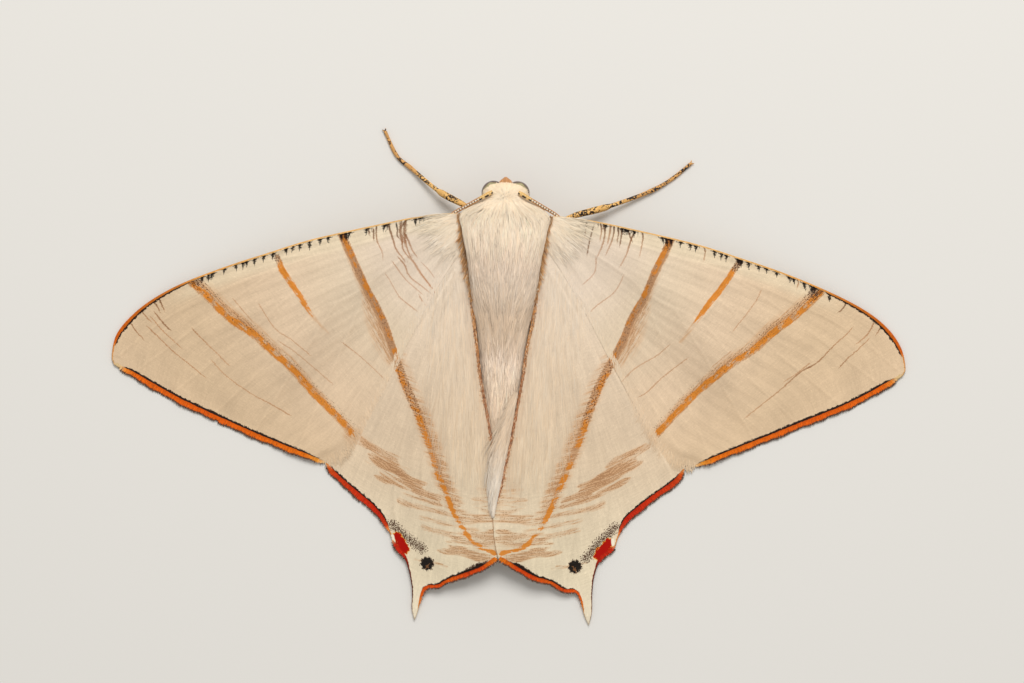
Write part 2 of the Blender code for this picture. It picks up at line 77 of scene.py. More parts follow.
HINDWING = {
    "right": {
        "costa": [(2.7, 10.4), (4.2, 9.6), (7.6, 6.0), (12.0, 0.6), (15.2, -4.2), (16.0, -6.8), (15.8, -8.8)],
        "termen": [(15.8, -8.8), (15.3, -9.95), (13.2, -11.6), (11.2, -13.3), (10.35, -14.6),
                   (9.9, -15.8), (8.8, -16.8), (8.3, -18.1), (8.15, -19.6), (8.15, -21.2),
                   (7.92, -22.4)],
        "tail": [(7.92, -22.4), (7.5, -21.5), (7.1, -20.1), (6.6, -19.5), (5.6, -19.45),
                 (4.5, -18.85), (3.0, -18.4), (1.3, -17.5), (0.05, -16.7)],
        "inner": [(0.05, -16.7), (-0.25, -15.6), (-0.46, -14.0), (-0.5, -12.6), (-0.2, -11.5), (0.08, -10.6),
                  (0.36, -8.9), (0.75, -7.0), (1.25, -3.9), (1.72, -0.8),
                  (1.97, 1.2), (2.35, 3.2), (2.62, 5.0), (2.7, 6.6)],
    },
    "left": {
        "costa": [(2.7, 10.4), (4.2, 9.5), (7.3, 5.9), (11.4, 0.5), (14.4, -4.3), (15.1, -6.9), (14.9, -8.95)],
        "termen": [(14.9, -8.95), (14.4, -9.9), (12.6, -11.5), (11.0, -12.8), (9.5, -14.5),
                   (8.9, -15.9), (7.9, -17.2), (7.4, -19.0), (7.3, -20.2), (7.32, -21.2),
                   (7.05, -22.3)],
        "tail": [(7.05, -22.3), (6.72, -21.2), (6.4, -19.9), (6.0, -19.4), (5.0, -19.3),
                 (4.0, -18.75), (2.0, -18.0), (1.0, -17.5), (0.05, -16.7)],
        "inner": [(0.05, -16.7), (0.04, -12.0), (0.3, -9.0), (0.52, -7.3), (1.14, -4.0), (1.73, -1.0),
                  (2.02, 1.2), (2.3, 3.2), (2.55, 5.0), (2.65, 6.6)],
    },
}
# The edges of an outline, in turn
FORE_ORDER, HIND_ORDER = ("costa", "termen", "inner"), ("costa", "termen", "tail", "inner")

FOREWING_VEINS = [
    [(4.6, 12.2), (10.0, 11.35), (16.0, 10.0), (20.6, 9.0)],
    [(4.6, 11.8), (10.0, 10.6), (15.5, 9.1), (19.4, 7.9), (25.0, 5.7), (30.0, 3.2), (34.0, 0.1)],
    [(15.5, 9.1), (21.0, 8.3), (27.0, 6.6), (31.6, 4.2)],
    [(19.4, 7.9), (24.0, 4.9), (29.0, 1.3), (32.6, -1.3)],
    [(19.4, 7.9), (18.3, 5.9), (16.8, 3.9)],
    [(18.3, 5.9), (22.5, 2.2), (29.4, -3.2)],
    [(4.4, 11.2), (9.0, 8.6), (13.2, 5.6), (16.8, 3.9), (21.0, -0.6), (25.6, -4.8)],
    [(14.6, 4.9), (18.0, -0.2), (21.9, -6.3)],
    [(11.6, 6.8), (14.6, 0.0), (18.0, -7.8)],
    [(4.3, 10.6), (8.0, 5.2), (12.3, -2.2), (15.6, -7.6)],
]
HINDWING_VEINS = [
    [(4.2, 8.4), (8.5, 3.4), (13.0, -2.2), (15.3, -6.0)],
    [(4.0, 7.8), (7.4, 2.6), (11.4, -3.4), (15.0, -9.6)],
    [(7.4, 2.6), (9.8, -3.6), (13.4, -11.0)],
    [(6.6, 1.0), (8.0, -5.0), (9.2, -10.6), (8.9, -15.4), (7.85, -21.6)],
    [(3.7, 7.3), (5.4, 3.6), (6.4, -4.0), (6.6, -12.0), (5.7, -18.9)],
    [(5.4, 3.6), (4.4, -5.0), (3.6, -12.0), (3.0, -17.9)],
    [(3.5, 6.9), (3.2, 2.0), (2.0, -6.0), (1.3, -12.0), (1.0, -17.0)],
]

# Heights of the wings' lower faces over the floor, as in the solids
FOREWING_HINGE, FOREWING_HINGE_Z = (4.0, 11.0), 3.7
FOREWING_DROOP, FOREWING_FLAT = 1.1, 0.93
APEX_ANGLE, TORNUS_ANGLE, TORNUS_REACH = math.radians(-20.0), math.radians(-57.0), 23.3
STACK, STACK_FULL, STACK_FADE, STACK_BLEND = 1.05, 0.6, 5.0, 0.5
HINDWING_RIDGE = [
    (-22.4, 0.3), (-19.5, 1.0), (-16.5, 1.9), (-12.0, 2.5), (-7.5, 2.9), (-3.9, 3.1), (0.0, 3.2),
    (3.0, 3.1), (6.0, 2.8), (9.5, 2.4), (14.0, 2.4),
]
HINDWING_FLAT_X = [(-20.0, 9.5), (-16.0, 10.2), (-12.0, 12.0), (-8.0, 13.6), (0.0, 15.4), (12.0, 17.0)]
RIDGE_X = 1.5

# Lines of the pattern, one side each; the bands run from the front edge to the rear
AM_BAND = {
    "right": [(14.2, 10.9), (13.5, 9.3), (12.9, 8.1), (12.0, 5.8), (11.0, 4.0), (10.3, 2.1), (9.2, 0.0),
              (8.2, -2.0), (7.3, -4.6), (6.4, -7.2), (5.6, -9.2), (5.0, -10.6), (4.3, -12.4),
              (3.3, -14.3), (2.0, -15.6), (0.3, -16.1)],
    "left": [(13.9, 10.7), (12.9, 8.6), (11.6, 5.9), (10.3, 3.5), (9.0, 0.0), (8.0, -2.4), (6.9, -4.8),
             (6.0, -7.1), (5.2, -9.4), (4.4, -11.3), (3.2, -13.8), (1.9, -15.3), (0.3, -16.1)],
}
PM_BAND = {
    "right": [(27.3, 7.0), (26.8, 6.4), (25.0, 4.7), (23.0, 3.1), (21.5, 1.7), (20.0, 0.7), (18.0, -0.9),
              (16.0, -2.8), (13.3, -5.8), (12.8, -6.6)],
    "left": [(26.9, 6.6), (26.3, 6.1), (25.0, 5.0), (24.0, 4.0), (23.0, 3.2), (21.0, 1.9), (20.0, 1.0),
             (18.0, -0.7), (16.2, -2.7), (14.0, -4.8), (12.1, -6.8)],
}
DISCAL = {
    "right": [(20.1, 9.1), (19.9, 8.8), (19.3, 7.9), (18.5, 6.7), (17.5, 5.4), (16.8, 4.4), (15.9, 3.1),
              (15.2, 2.2)],
    "left": [(19.35, 8.6), (19.2, 8.3), (19.0, 7.7), (18.4, 6.8), (17.3, 5.3), (16.6, 4.2), (15.8, 3.1),
             (15.0, 2.2)],
}
# Where a forewing's rear corner darkens, and where the hairs of its rear edge do
SMUDGE, DUSK = np.array([12.9, -6.5]), np.array([12.6, -6.2])
# Hatched brown patches across each hindwing: (inner end, outer end, half width, strength)
HATCHES = [
    ((9.4, -8.6), (12.5, -6.9), 0.45, 0.75),
    ((7.2, -10.6), (11.6, -8.3), 0.55, 0.95),
    ((5.6, -11.9), (10.6, -9.8), 0.5, 0.85),
    ((4.4, -13.0), (8.9, -12.0), 0.35, 0.6),
    ((4.2, -13.8), (7.0, -13.3), 0.26, 0.5),
    ((3.6, -14.8), (6.8, -14.2), 0.3, 0.55),
    ((0.8, -16.6), (4.9, -16.0), 0.36, 0.8),
    ((0.2, -14.8), (4.0, -15.4), 0.6, 0.75),
    ((0.1, -13.0), (2.4, -13.2), 0.6, 0.65),
    ((0.2, -11.6), (1.9, -11.8), 0.5, 0.6),
    ((0.4, -10.2), (1.5, -10.6), 0.6, 0.5),
    ((0.9, -8.4), (1.6, -8.8), 0.7, 0.35),
    ((5.0, -17.3), (7.6, -16.95), 0.1, 0.6),
]
# The black-dusted band inside each hindwing's red patch
SPECKS = {
    "right": [(10.0, -13.9), (9.3, -14.6), (8.4, -15.5), (7.9, -16.2), (7.5, -16.6)],
    "left": [(9.1, -14.0), (8.1, -14.95), (7.1, -15.65), (6.5, -16.0)],
}
# The red patch on each hindwing's edge and the cream notch beside it
RED_PATCH = {
    "right": (np.array([(9.5, -15.25), (9.1, -15.7), (8.6, -16.35)]), np.array([(9.8, -14.95), (9.85, -15.4)])),
    "left": (np.array([(8.72, -15.1), (8.45, -15.4), (8.0, -16.1)]), np.array([(9.1, -15.0), (8.95, -15.5)])),
}
# The hindwing's line against Y: its half width, its brown, the brown beside it and its orange
HIND_LINE_WIDTH = [(-16.5, 0.24), (-14.0, 0.24), (-8.0, 0.3), (-4.0, 0.36), (6.0, 0.32)]
HIND_LINE_BROWN = [(-16.5, 0.4), (-15.0, 0.5), (-12.0, 0.7), (-9.0, 0.85), (-3.0, 0.95)]
HIND_LINE_BLEED = [(-16.5, 0.3), (-12.0, 0.54), (-6.0, 0.52), (-2.0, 0.4)]
HIND_LINE_ORANGE = [(-17.0, 0.8), (-13.0, 0.7), (-10.0, 0.56), (-3.0, 0.54)]
# The black spot, the brown streak beside it, the dust at the inner corner, and how wide each hindwing is
EYE_SPOT = {"right": np.array([6.6, -17.3]), "left": np.array([6.05, -17.28])}
EYE_STREAK = np.array([(4.6, -17.5), (6.0, -17.3)])
CORNER_DUST = np.array([(0.9, -17.0), (1.7, -17.2), (2.6, -17.65)])
HIND_FIT = {"right": np.array([1.0, 1.0]), "left": np.array([0.945, 1.0])}
# Lines of plain ground through the hatched patches
PALE_STREAKS = [
    [(8.0, -11.0), (10.2, -9.8), (12.2, -8.5)],
    [(4.4, -12.7), (7.4, -11.9), (9.6, -11.2)],
    [(4.0, -13.4), (6.8, -12.8), (8.6, -12.6)],
    [(4.0, -14.3), (5.6, -14.0), (7.4, -13.6)],
    [(2.4, -15.6), (5.0, -15.4), (7.6, -15.1)],
    [(10.2, -7.6), (11.6, -7.0), (12.6, -6.4)],
    [(0.4, -11.9), (1.6, -12.1), (3.4, -12.3)],
    [(0.2, -13.7), (2.0, -13.9), (3.6, -14.0)],
]

# Strokes on the forewings: (half width at the start, at the end, darkness at the start, at the end, line)
STROKES = {
    "right": [
        (0.06, 0.05, 1.0, 0.7, [(6.9, 12.3), (6.9, 11.7), (6.8, 11.1)]),
        (0.05, 0.05, 0.9, 0.8, [(7.5, 11.7), (7.2, 10.5), (7.05, 9.5)]),
        (0.06, 0.05, 1.0, 0.9, [(7.9, 12.2), (7.9, 11.9)]),
        (0.07, 0.04, 1.0, 0.4, [(8.1, 12.1), (8.2, 11.4), (8.1, 10.7)]),
        (0.07, 0.04, 1.0, 0.3, [(8.35, 12.1), (8.5, 11.2), (8.3, 10.2), (7.95, 9.3)]),
        (0.09, 0.05, 0.9, 0.3, [(9.0, 12.0), (8.9, 11.2), (8.75, 10.4)]),
        (0.07, 0.04, 1.0, 0.3, [(9.25, 11.9), (9.25, 11.2), (9.0, 10.3), (8.65, 9.5)]),
        (0.06, 0.04, 1.0, 0.7, [(9.6, 11.8), (9.65, 11.2), (9.55, 10.6)]),
        (0.06, 0.05, 0.9, 0.8, [(9.85, 11.7), (9.9, 11.1), (9.8, 10.3)]),
        (0.06, 0.06, 1.0, 0.8, [(10.4, 11.7), (10.6, 11.1), (10.75, 10.7)]),
        (0.08, 0.04, 1.0, 0.2, [(11.1, 11.5), (10.85, 11.0), (10.7, 10.6), (10.5, 9.9), (10.35, 9.4),
                                (9.9, 8.5)]),
        (0.06, 0.03, 1.0, 0.2, [(11.6, 11.4), (11.75, 11.0), (11.65, 10.2), (11.5, 9.4)]),
        (0.04, 0.03, 0.35, 0.2, [(7.8, 9.1), (7.8, 8.3), (7.6, 7.7), (6.8, 6.9)]),
        (0.04, 0.03, 0.2, 0.45, [(10.1, 7.5), (9.9, 7.0), (9.3, 6.1), (8.0, 5.1), (7.2, 4.3)]),
        (0.03, 0.05, 0.3, 0.2, [(14.2, 1.8), (13.2, 0.9), (11.4, -0.2), (10.3, -1.3)]),
        (0.03, 0.04, 0.4, 0.4, [(15.8, 0.7), (14.9, 0.0), (13.7, -1.0), (12.5, -2.2), (11.9, -2.6)]),
        (0.06, 0.04, 0.9, 0.4, [(17.0, 10.2), (17.1, 9.8), (17.0, 9.2)]),
        (0.05, 0.04, 0.9, 0.4, [(25.1, 7.7), (25.2, 7.4), (25.1, 7.0)]),
        (0.06, 0.05, 0.9, 0.8, [(29.3, 5.8), (29.2, 5.4), (28.8, 5.0)]),
        (0.05, 0.04, 0.9, 0.6, [(32.4, 3.7), (32.1, 3.2)]),
        (0.03, 0.05, 0.5, 0.75, [(29.9, 3.6), (29.5, 3.1), (28.4, 2.1), (27.1, 0.7), (26.2, 0.1)]),
        (0.05, 0.03, 0.75, 0.4, [(26.3, 0.2), (25.5, -0.3), (24.0, -1.7), (22.8, -2.7), (21.0, -4.2)]),
        (0.04, 0.02, 0.5, 0.3, [(26.3, 0.5), (25.2, -0.4), (24.2, -1.1)]),
        (0.06, 0.03, 0.7, 0.4, [(31.8, 4.1), (31.6, 3.6), (31.1, 2.9), (30.4, 2.3)]),
        (0.03, 0.04, 0.5, 0.7, [(31.4, 2.7), (30.3, 1.6), (29.7, 1.1), (29.0, 0.3)]),
        (0.03, 0.03, 0.3, 0.3, [(22.0, 6.7), (21.4, 5.5), (19.7, 3.2)]),
        (0.03, 0.03, 0.3, 0.3, [(19.5, 1.4), (18.0, 0.1)]),
    ],
    "left": [
        (0.12, 0.05, 0.6, 0.3, [(5.4, 12.4), (5.6, 12.2), (5.8, 11.7)]),
        (0.08, 0.1, 1.0, 0.9, [(8.0, 12.1), (8.35, 12.0), (8.6, 11.6)]),
        (0.13, 0.1, 0.85, 0.7, [(8.8, 11.65), (8.85, 11.0), (8.7, 10.2)]),
        (0.13, 0.12, 0.85, 0.7, [(8.45, 11.65), (8.5, 10.9), (8.45, 10.1)]),
        (0.07, 0.05, 0.7, 0.45, [(8.7, 10.3), (8.6, 9.5), (8.1, 8.8)]),
        (0.05, 0.05, 0.6, 0.45, [(8.4, 10.2), (8.25, 9.5), (7.9, 8.7)]),
        (0.06, 0.07, 0.4, 0.3, [(7.8, 8.6), (7.25, 7.7), (6.6, 6.9), (5.9, 6.0)]),
        (0.04, 0.04, 0.35, 0.3, [(7.6, 8.4), (6.9, 7.3), (6.2, 6.4), (5.5, 5.4)]),
        (0.08, 0.04, 0.8, 0.4, [(8.4, 10.7), (8.1, 10.1), (7.8, 9.4), (7.5, 9.0)]),
        (0.06, 0.05, 1.0, 0.8, [(9.2, 11.6), (9.1, 11.0), (9.15, 10.7), (9.0, 10.5)]),
        (0.09, 0.05, 1.0, 0.4, [(9.8, 11.9), (9.8, 11.3), (9.6, 10.7), (9.4, 10.1), (9.2, 9.5), (8.5, 8.6)]),
        (0.06, 0.03, 0.6, 0.3, [(8.9, 8.7), (8.4, 8.1), (8.2, 7.5), (7.8, 7.0), (7.1, 6.5), (5.9, 5.6)]),
        (0.04, 0.03, 0.4, 0.2, [(9.4, 8.3), (8.8, 7.5), (8.3, 6.9), (7.6, 6.3), (7.0, 5.8)]),
        (0.02, 0.04, 0.3, 0.4, [(10.0, 7.3), (9.5, 6.5), (9.1, 5.8), (8.7, 5.3), (7.5, 4.4)]),
        (0.04, 0.03, 0.4, 0.2, [(7.1, 5.5), (6.7, 4.9), (6.0, 4.3)]),
        (0.03, 0.03, 0.3, 0.2, [(6.9, 8.3), (6.4, 7.8), (6.0, 7.3)]),
        (0.07, 0.03, 1.0, 0.2, [(10.9, 11.6), (10.9, 10.8), (10.8, 10.1), (10.4, 9.3), (10.3, 8.8)]),
        (0.07, 0.06, 0.9, 0.8, [(11.15, 11.1), (11.1, 10.4)]),
        (0.08, 0.06, 1.0, 0.8, [(11.6, 11.4), (11.5, 10.8)]),
        (0.03, 0.03, 0.4, 0.2, [(13.6, 1.4), (12.0, 0.2), (10.2, -1.4)]),
        (0.05, 0.03, 0.8, 0.6, [(31.9, 2.7), (31.5, 2.1), (30.9, 1.5)]),
        (0.05, 0.04, 0.8, 0.5, [(31.0, 3.8), (30.7, 3.4), (30.3, 3.0)]),
        (0.06, 0.05, 0.9, 0.7, [(30.0, 4.6), (29.7, 4.3), (29.5, 3.9)]),
        (0.07, 0.04, 0.9, 0.7, [(29.5, 4.9), (29.3, 4.4), (29.1, 4.0)]),
        (0.05, 0.05, 0.7, 0.8, [(29.8, 3.6), (29.1, 2.8), (28.6, 2.3)]),
        (0.04, 0.03, 0.5, 0.4, [(30.1, 3.2), (29.5, 2.5), (28.9, 1.9), (28.3, 1.4), (27.6, 0.8)]),
        (0.04, 0.03, 0.6, 0.4, [(30.4, 2.4), (29.3, 1.4), (28.1, 0.3), (26.9, -0.6), (25.5, -1.7)]),
        (0.04, 0.03, 0.6, 0.3, [(26.5, 2.3), (25.5, 1.3), (24.2, 0.1), (23.5, -0.6)]),
        (0.03, 0.04, 0.3, 0.5, [(24.8, -0.4), (23.5, -1.7), (21.4, -3.1), (20.0, -3.8), (18.2, -4.8)]),
        (0.03, 0.03, 0.4, 0.3, [(20.8, 4.5), (19.5, 2.6), (18.0, 1.6), (16.5, 0.4)]),
        (0.03, 0.03, 0.3, 0.3, [(23.0, 4.9), (22.2, 4.0), (21.5, 3.2)]),
        (0.03, 0.03, 0.4, 0.2, [(19.0, 1.4), (17.6, 0.5), (15.8, -1.0), (14.6, -2.0)]),
    ],
}
# Short dark ticks along the front edge: (X along the edge, length)
TICKS = {
    "right": [(5.9, 0.3), (6.2, 0.3), (8.6, 0.2), (9.95, 0.25), (10.2, 0.25), (10.45, 0.2), (11.0, 0.25),
              (13.4, 0.35), (13.7, 0.45), (14.1, 0.4), (15.0, 0.25), (15.8, 0.3), (16.3, 0.35), (17.9, 0.4),
              (18.5, 0.35), (18.9, 0.3), (19.9, 0.3), (20.2, 0.45), (20.8, 0.4), (21.7, 0.3), (22.4, 0.2),
              (23.3, 0.25), (24.4, 0.2), (24.8, 0.3), (25.7, 0.5), (26.3, 0.45), (26.6, 0.3), (27.9, 0.6)],
    "left": [(6.0, 0.3), (6.3, 0.2), (6.5, 0.4), (6.9, 0.25), (7.15, 0.2), (7.6, 0.45), (10.0, 0.2),
             (10.2, 0.35), (11.7, 0.4), (13.2, 0.4), (13.5, 0.5), (13.9, 0.4), (15.0, 0.3), (15.7, 0.35),
             (16.6, 0.6), (17.4, 0.4), (18.0, 0.3), (18.6, 0.35), (19.7, 0.4), (20.5, 0.3), (21.3, 0.45),
             (22.0, 0.3), (22.3, 0.4), (22.9, 0.3), (23.9, 0.3), (24.9, 0.5), (25.3, 0.45), (25.8, 0.35)],
}

# The wings' grid, the step along pattern lines, the spacing of the scale rows, and the maps of both faces
WING_CELL = 0.11
LINE_STEP = 0.35
NO_LINE = -1.0
ROW_PITCH = 0.17
MAP_SIZE, MAP_EDGE, LOWER_FACE_MAP = 0.48, 0.01, (0.5, 0.0)
# How strong the pattern is on the lower face
UNDERSIDE_SHARE = 0.6


def lin(red, green, blue):
    """A colour as read off the photo, 0 to 255, turned into linear light."""
    share = np.array([red, green, blue]) / 255.0
    return np.where(share <= 0.04045, share / 12.92, ((share + 0.055) / 1.055) ** 2.4)


BROWN_GROUND = lin(204, 150, 98)
BROWN = lin(138, 88, 50)
DARK_BROWN = lin(84, 54, 38)
ORANGE = lin(220, 132, 26)
INK = lin(16, 9, 8)
STROKE_BROWN = lin(184, 124, 76)
FRINGE_ORANGE = lin(228, 102, 4)
FRINGE_RED = lin(194, 34, 2)
FRINGE_YELLOW = lin(236, 160, 50)
TAIL_CREAM = lin(226, 211, 184)
LINE_BLACK = lin(40, 25, 18)
HAIR_TIP = lin(92, 62, 44)
PATCH_RED, NOTCH_CREAM = lin(172, 12, 0), lin(244, 234, 208)


def rise(value, low, high):
    """0 below low and 1 above high, smoothly between."""
    share = np.clip((value - low) / (high - low), 0.0, 1.0)
    return share * share * (3 - 2 * share)


def band(value, low, high, soft):
    return rise(value, low - soft, low + soft) * (1 - rise(value, high - soft, high + soft))


def between(rows, at):
    """The values of a table of (place, values) rows at places, on a smooth curve through them."""
    rows = np.asarray(rows, float)
    x, y = rows[:, 0], rows[:, 1:]
    k = np.arange(len(x))
    before, after = np.maximum(k - 1, 0), np.minimum(k + 1, len(x) - 1)
    slope = (y[after] - y[before]) / (x[after] - x[before])[:, None]
    at = np.clip(at, x[0], x[-1])
    i = np.clip(np.searchsorted(x, at, side="right") - 1, 0, len(x) - 2)
    width = (x[i + 1] - x[i])[..., None]
    t = (at - x[i])[..., None] / width
    found = (
        (1 + 2 * t) * (1 - t) ** 2 * y[i]
        + t * (1 - t) ** 2 * width * slope[i]
        + t * t * (3 - 2 * t) * y[i + 1]
        + t * t * (t - 1) * width * slope[i + 1]
    )
    return found[..., 0] if y.shape[1] == 1 else found


def columns(*parts):
    """Numbers side by side, one row for each point."""
    return np.column_stack(parts)


def run_of(line):
    """How far along a line each of its points lies."""
    return np.concatenate([[0.0], np.cumsum(np.linalg.norm(np.diff(line, axis=0), axis=1))])


def unit(ways, least=0.0):
    """Ways made one long; least keeps a way without length from dividing by nothing."""
    return ways / (np.linalg.norm(ways, axis=-1, keepdims=True) + least)


def spaced(points, step):
    """Places along the smooth curve through the points, about one step apart, both ends included."""
    points = np.asarray(points, float)
    k = np.arange(len(points))
    fine = between(columns(k, points), np.linspace(0, len(points) - 1, 60 * len(points)))
    run = run_of(fine)
    at = np.linspace(0, run[-1], max(1, round(run[-1] / step)) + 1)
    return np.column_stack([np.interp(at, run, fine[:, axis]) for axis in range(points.shape[1])])


def near_line(p, line):
    """How far points are from a line, on which side (+1 is its left) and how far along it, and the foot."""
    best, side, along = np.full(len(p), 1e9), np.ones(len(p)), np.zeros(len(p))
    foot = np.zeros((len(p), 2))
    run = 0.0
    for a, b in zip(line, line[1:]):
        span = b - a
        length = math.hypot(*span)
        away = p - a
        t = np.clip(away @ span / length**2, 0.0, 1.0)
        off = away - t[:, None] * span
        far = np.hypot(off[:, 0], off[:, 1])
        closer = far < best
        best[closer] = far[closer]
        side[closer] = np.where(span[0] * away[closer, 1] - span[1] * away[closer, 0] >= 0, 1.0, -1.0)
        along[closer] = run + t[closer] * length
        foot[closer] = (a + t[:, None] * span)[closer]
        run += length
    return best, side, along, foot


def far_from(p, curve, step=0.3):
    """Distance of points to a smooth curve."""
    return near_line(p, spaced(curve, step))[0]


def signed(p, points):
    """Distance to a pattern line, positive on its outer side, and the place's Y on the line."""
    far, side, _, foot = near_line(p, spaced(points, LINE_STEP))
    return far * side, foot


def inside(p, loop):
    odd = np.zeros(len(p), bool)
    for a, b in zip(loop, np.roll(loop, -1, axis=0)):
        crosses = (a[1] > p[:, 1]) != (b[1] > p[:, 1])
        if crosses.any():
            odd ^= crosses & (p[:, 0] < a[0] + (p[:, 1] - a[1]) / (b[1] - a[1]) * (b[0] - a[0]))
    return odd


def outline_of(wing, order, step):
    loop = np.concatenate([spaced(wing[name], step)[:-1] for name in order])
    last, first = np.array(wing[order[-1]][-1]), np.array(wing[order[0]][0])
    count = max(2, round(math.hypot(*(first - last)) / step))
    base = last + (first - last) * (np.arange(count) / count)[:, None]
    return np.concatenate([loop, base])


def sheet_grid(loop, cell):
    """A flat grid of squares inside a loop, with its edge drawn onto the loop, and its boundary edges."""
    low, high = loop.min(0) - cell, loop.max(0) + cell
    nx, ny = (np.ceil((high - low) / cell)).astype(int)
    ix, iy = np.meshgrid(np.arange(nx), np.arange(ny), indexing="ij")
    centres = low + (np.stack([ix, iy], -1) + 0.5) * cell
    keep = inside(centres.reshape(-1, 2), loop).reshape(nx, ny)
    while True:
        a, b, c, d = keep[:-1, :-1], keep[1:, :-1], keep[:-1, 1:], keep[1:, 1:]
        falling, rising = a & d & ~b & ~c, b & c & ~a & ~d
        if not (falling.any() or rising.any()):
            break
        keep[1:, :-1] |= falling
        keep[:-1, :-1] |= rising
    touching = np.zeros((nx + 1, ny + 1), int)
    for dx in (0, 1):
        for dy in (0, 1):
            touching[dx : nx + dx, dy : ny + dy] += keep
    used = touching > 0
    index = np.full(used.shape, -1)
    index[used] = np.arange(used.sum())
    p = low + np.argwhere(used) * cell
    i, j = np.nonzero(keep)
    quads = np.stack([index[i, j], index[i + 1, j], index[i + 1, j + 1], index[i, j + 1]], -1)
    rim = touching[used] < 4
    p[rim] = near_line(p[rim], np.concatenate([loop, loop[:1]]))[3]
    a, b = quads.ravel(), np.roll(quads, -1, axis=1).ravel()
    size = len(p)
    free = ~np.isin(a * size + b, b * size + a)
    return p, quads, np.stack([a[free], b[free]], -1)


def place_on(verts, side=1):
    """Points of one side, in millimetres of the moth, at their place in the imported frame."""
    return (np.asarray(verts, float) * (side, 1, 1) + MIDLINE) * MM


def stand(name, data):
    """A new object in the scene."""
    obj = bpy.data.objects.new(name, data)
    bpy.context.scene.collection.objects.link(obj)
    return obj


def dress(obj, material, stands_for=()):
    """Gives a piece its finish and its slot, and lets it ride on the moth in place of its solids."""
    obj.data.materials.clear()
    obj.data.materials.append(material)
    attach(obj, "root")
    if stands_for:
        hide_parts(*stands_for)
    return obj


def mesh_from(name, verts, *face_sets):
    """A mesh from placed corner points in metres and arrays of faces of equal length."""
    mesh = bpy.data.meshes.new(name)
    corners = np.concatenate([faces.ravel() for faces in face_sets]).astype(np.int32)
    sizes = np.concatenate([np.full(len(faces), faces.shape[1]) for faces in face_sets])
    starts = np.concatenate([[0], np.cumsum(sizes)[:-1]]).astype(np.int32)
    mesh.vertices.add(len(verts))
    mesh.vertices.foreach_set("co", verts.astype(np.float32).ravel())
    mesh.loops.add(len(corners))
    mesh.loops.foreach_set("vertex_index", corners)
    mesh.polygons.add(len(sizes))
    mesh.polygons.foreach_set("loop_start", starts)
    mesh.update(calc_edges=True)
    mesh.shade_smooth()
    return mesh


def set_uv(mesh, uv):
    layer = mesh.uv_layers.new(name="OFBake")
    corners = np.empty(len(mesh.loops), np.int32)
    mesh.loops.foreach_get("vertex_index", corners)
    layer.data.foreach_set("uv", uv[corners].astype(np.float32).ravel())


def set_attribute(mesh, name, values):
    """One number, three numbers or one colour for each corner point; a colour's name ends in tint."""
    if values.ndim == 1:
        made = mesh.attributes.new(name, "FLOAT", "POINT")
        made.data.foreach_set("value", values.astype(np.float32))
    elif name.endswith("tint"):
        made = mesh.attributes.new(name, "FLOAT_COLOR", "POINT")
        full = columns(values, np.ones(len(values)))
        made.data.foreach_set("color", full.astype(np.float32).ravel())
    else:
        made = mesh.attributes.new(name, "FLOAT_VECTOR", "POINT")
        made.data.foreach_set("vector", values.astype(np.float32).ravel())


def add_piece(name, verts, face_sets, side, material, attributes=(), uv=None, stands_for=()):
    """A finished piece of one side: mirrored and placed, with its attributes, finish and rider."""
    if side < 0:
        face_sets = [faces[:, ::-1] for faces in face_sets]
    mesh = mesh_from(name, place_on(verts, side), *face_sets)
    for key, values in dict(attributes).items():
        set_attribute(mesh, key, values)
    if uv is not None:
        set_uv(mesh, uv)
    return dress(stand(name, mesh), material, stands_for)


class Value:
    """A shader value that can stand in sums."""

    def __init__(self, net, socket):
        self.net, self.socket = net, socket

    def __add__(self, other):
        return self.net.math("ADD", self, other)

    def __sub__(self, other):
        return self.net.math("SUBTRACT", self, other)

    def __rsub__(self, other):
        return self.net.math("SUBTRACT", other, self)

    def __mul__(self, other):
        return self.net.math("MULTIPLY", self, other)

    __radd__ = __add__
    __rmul__ = __mul__


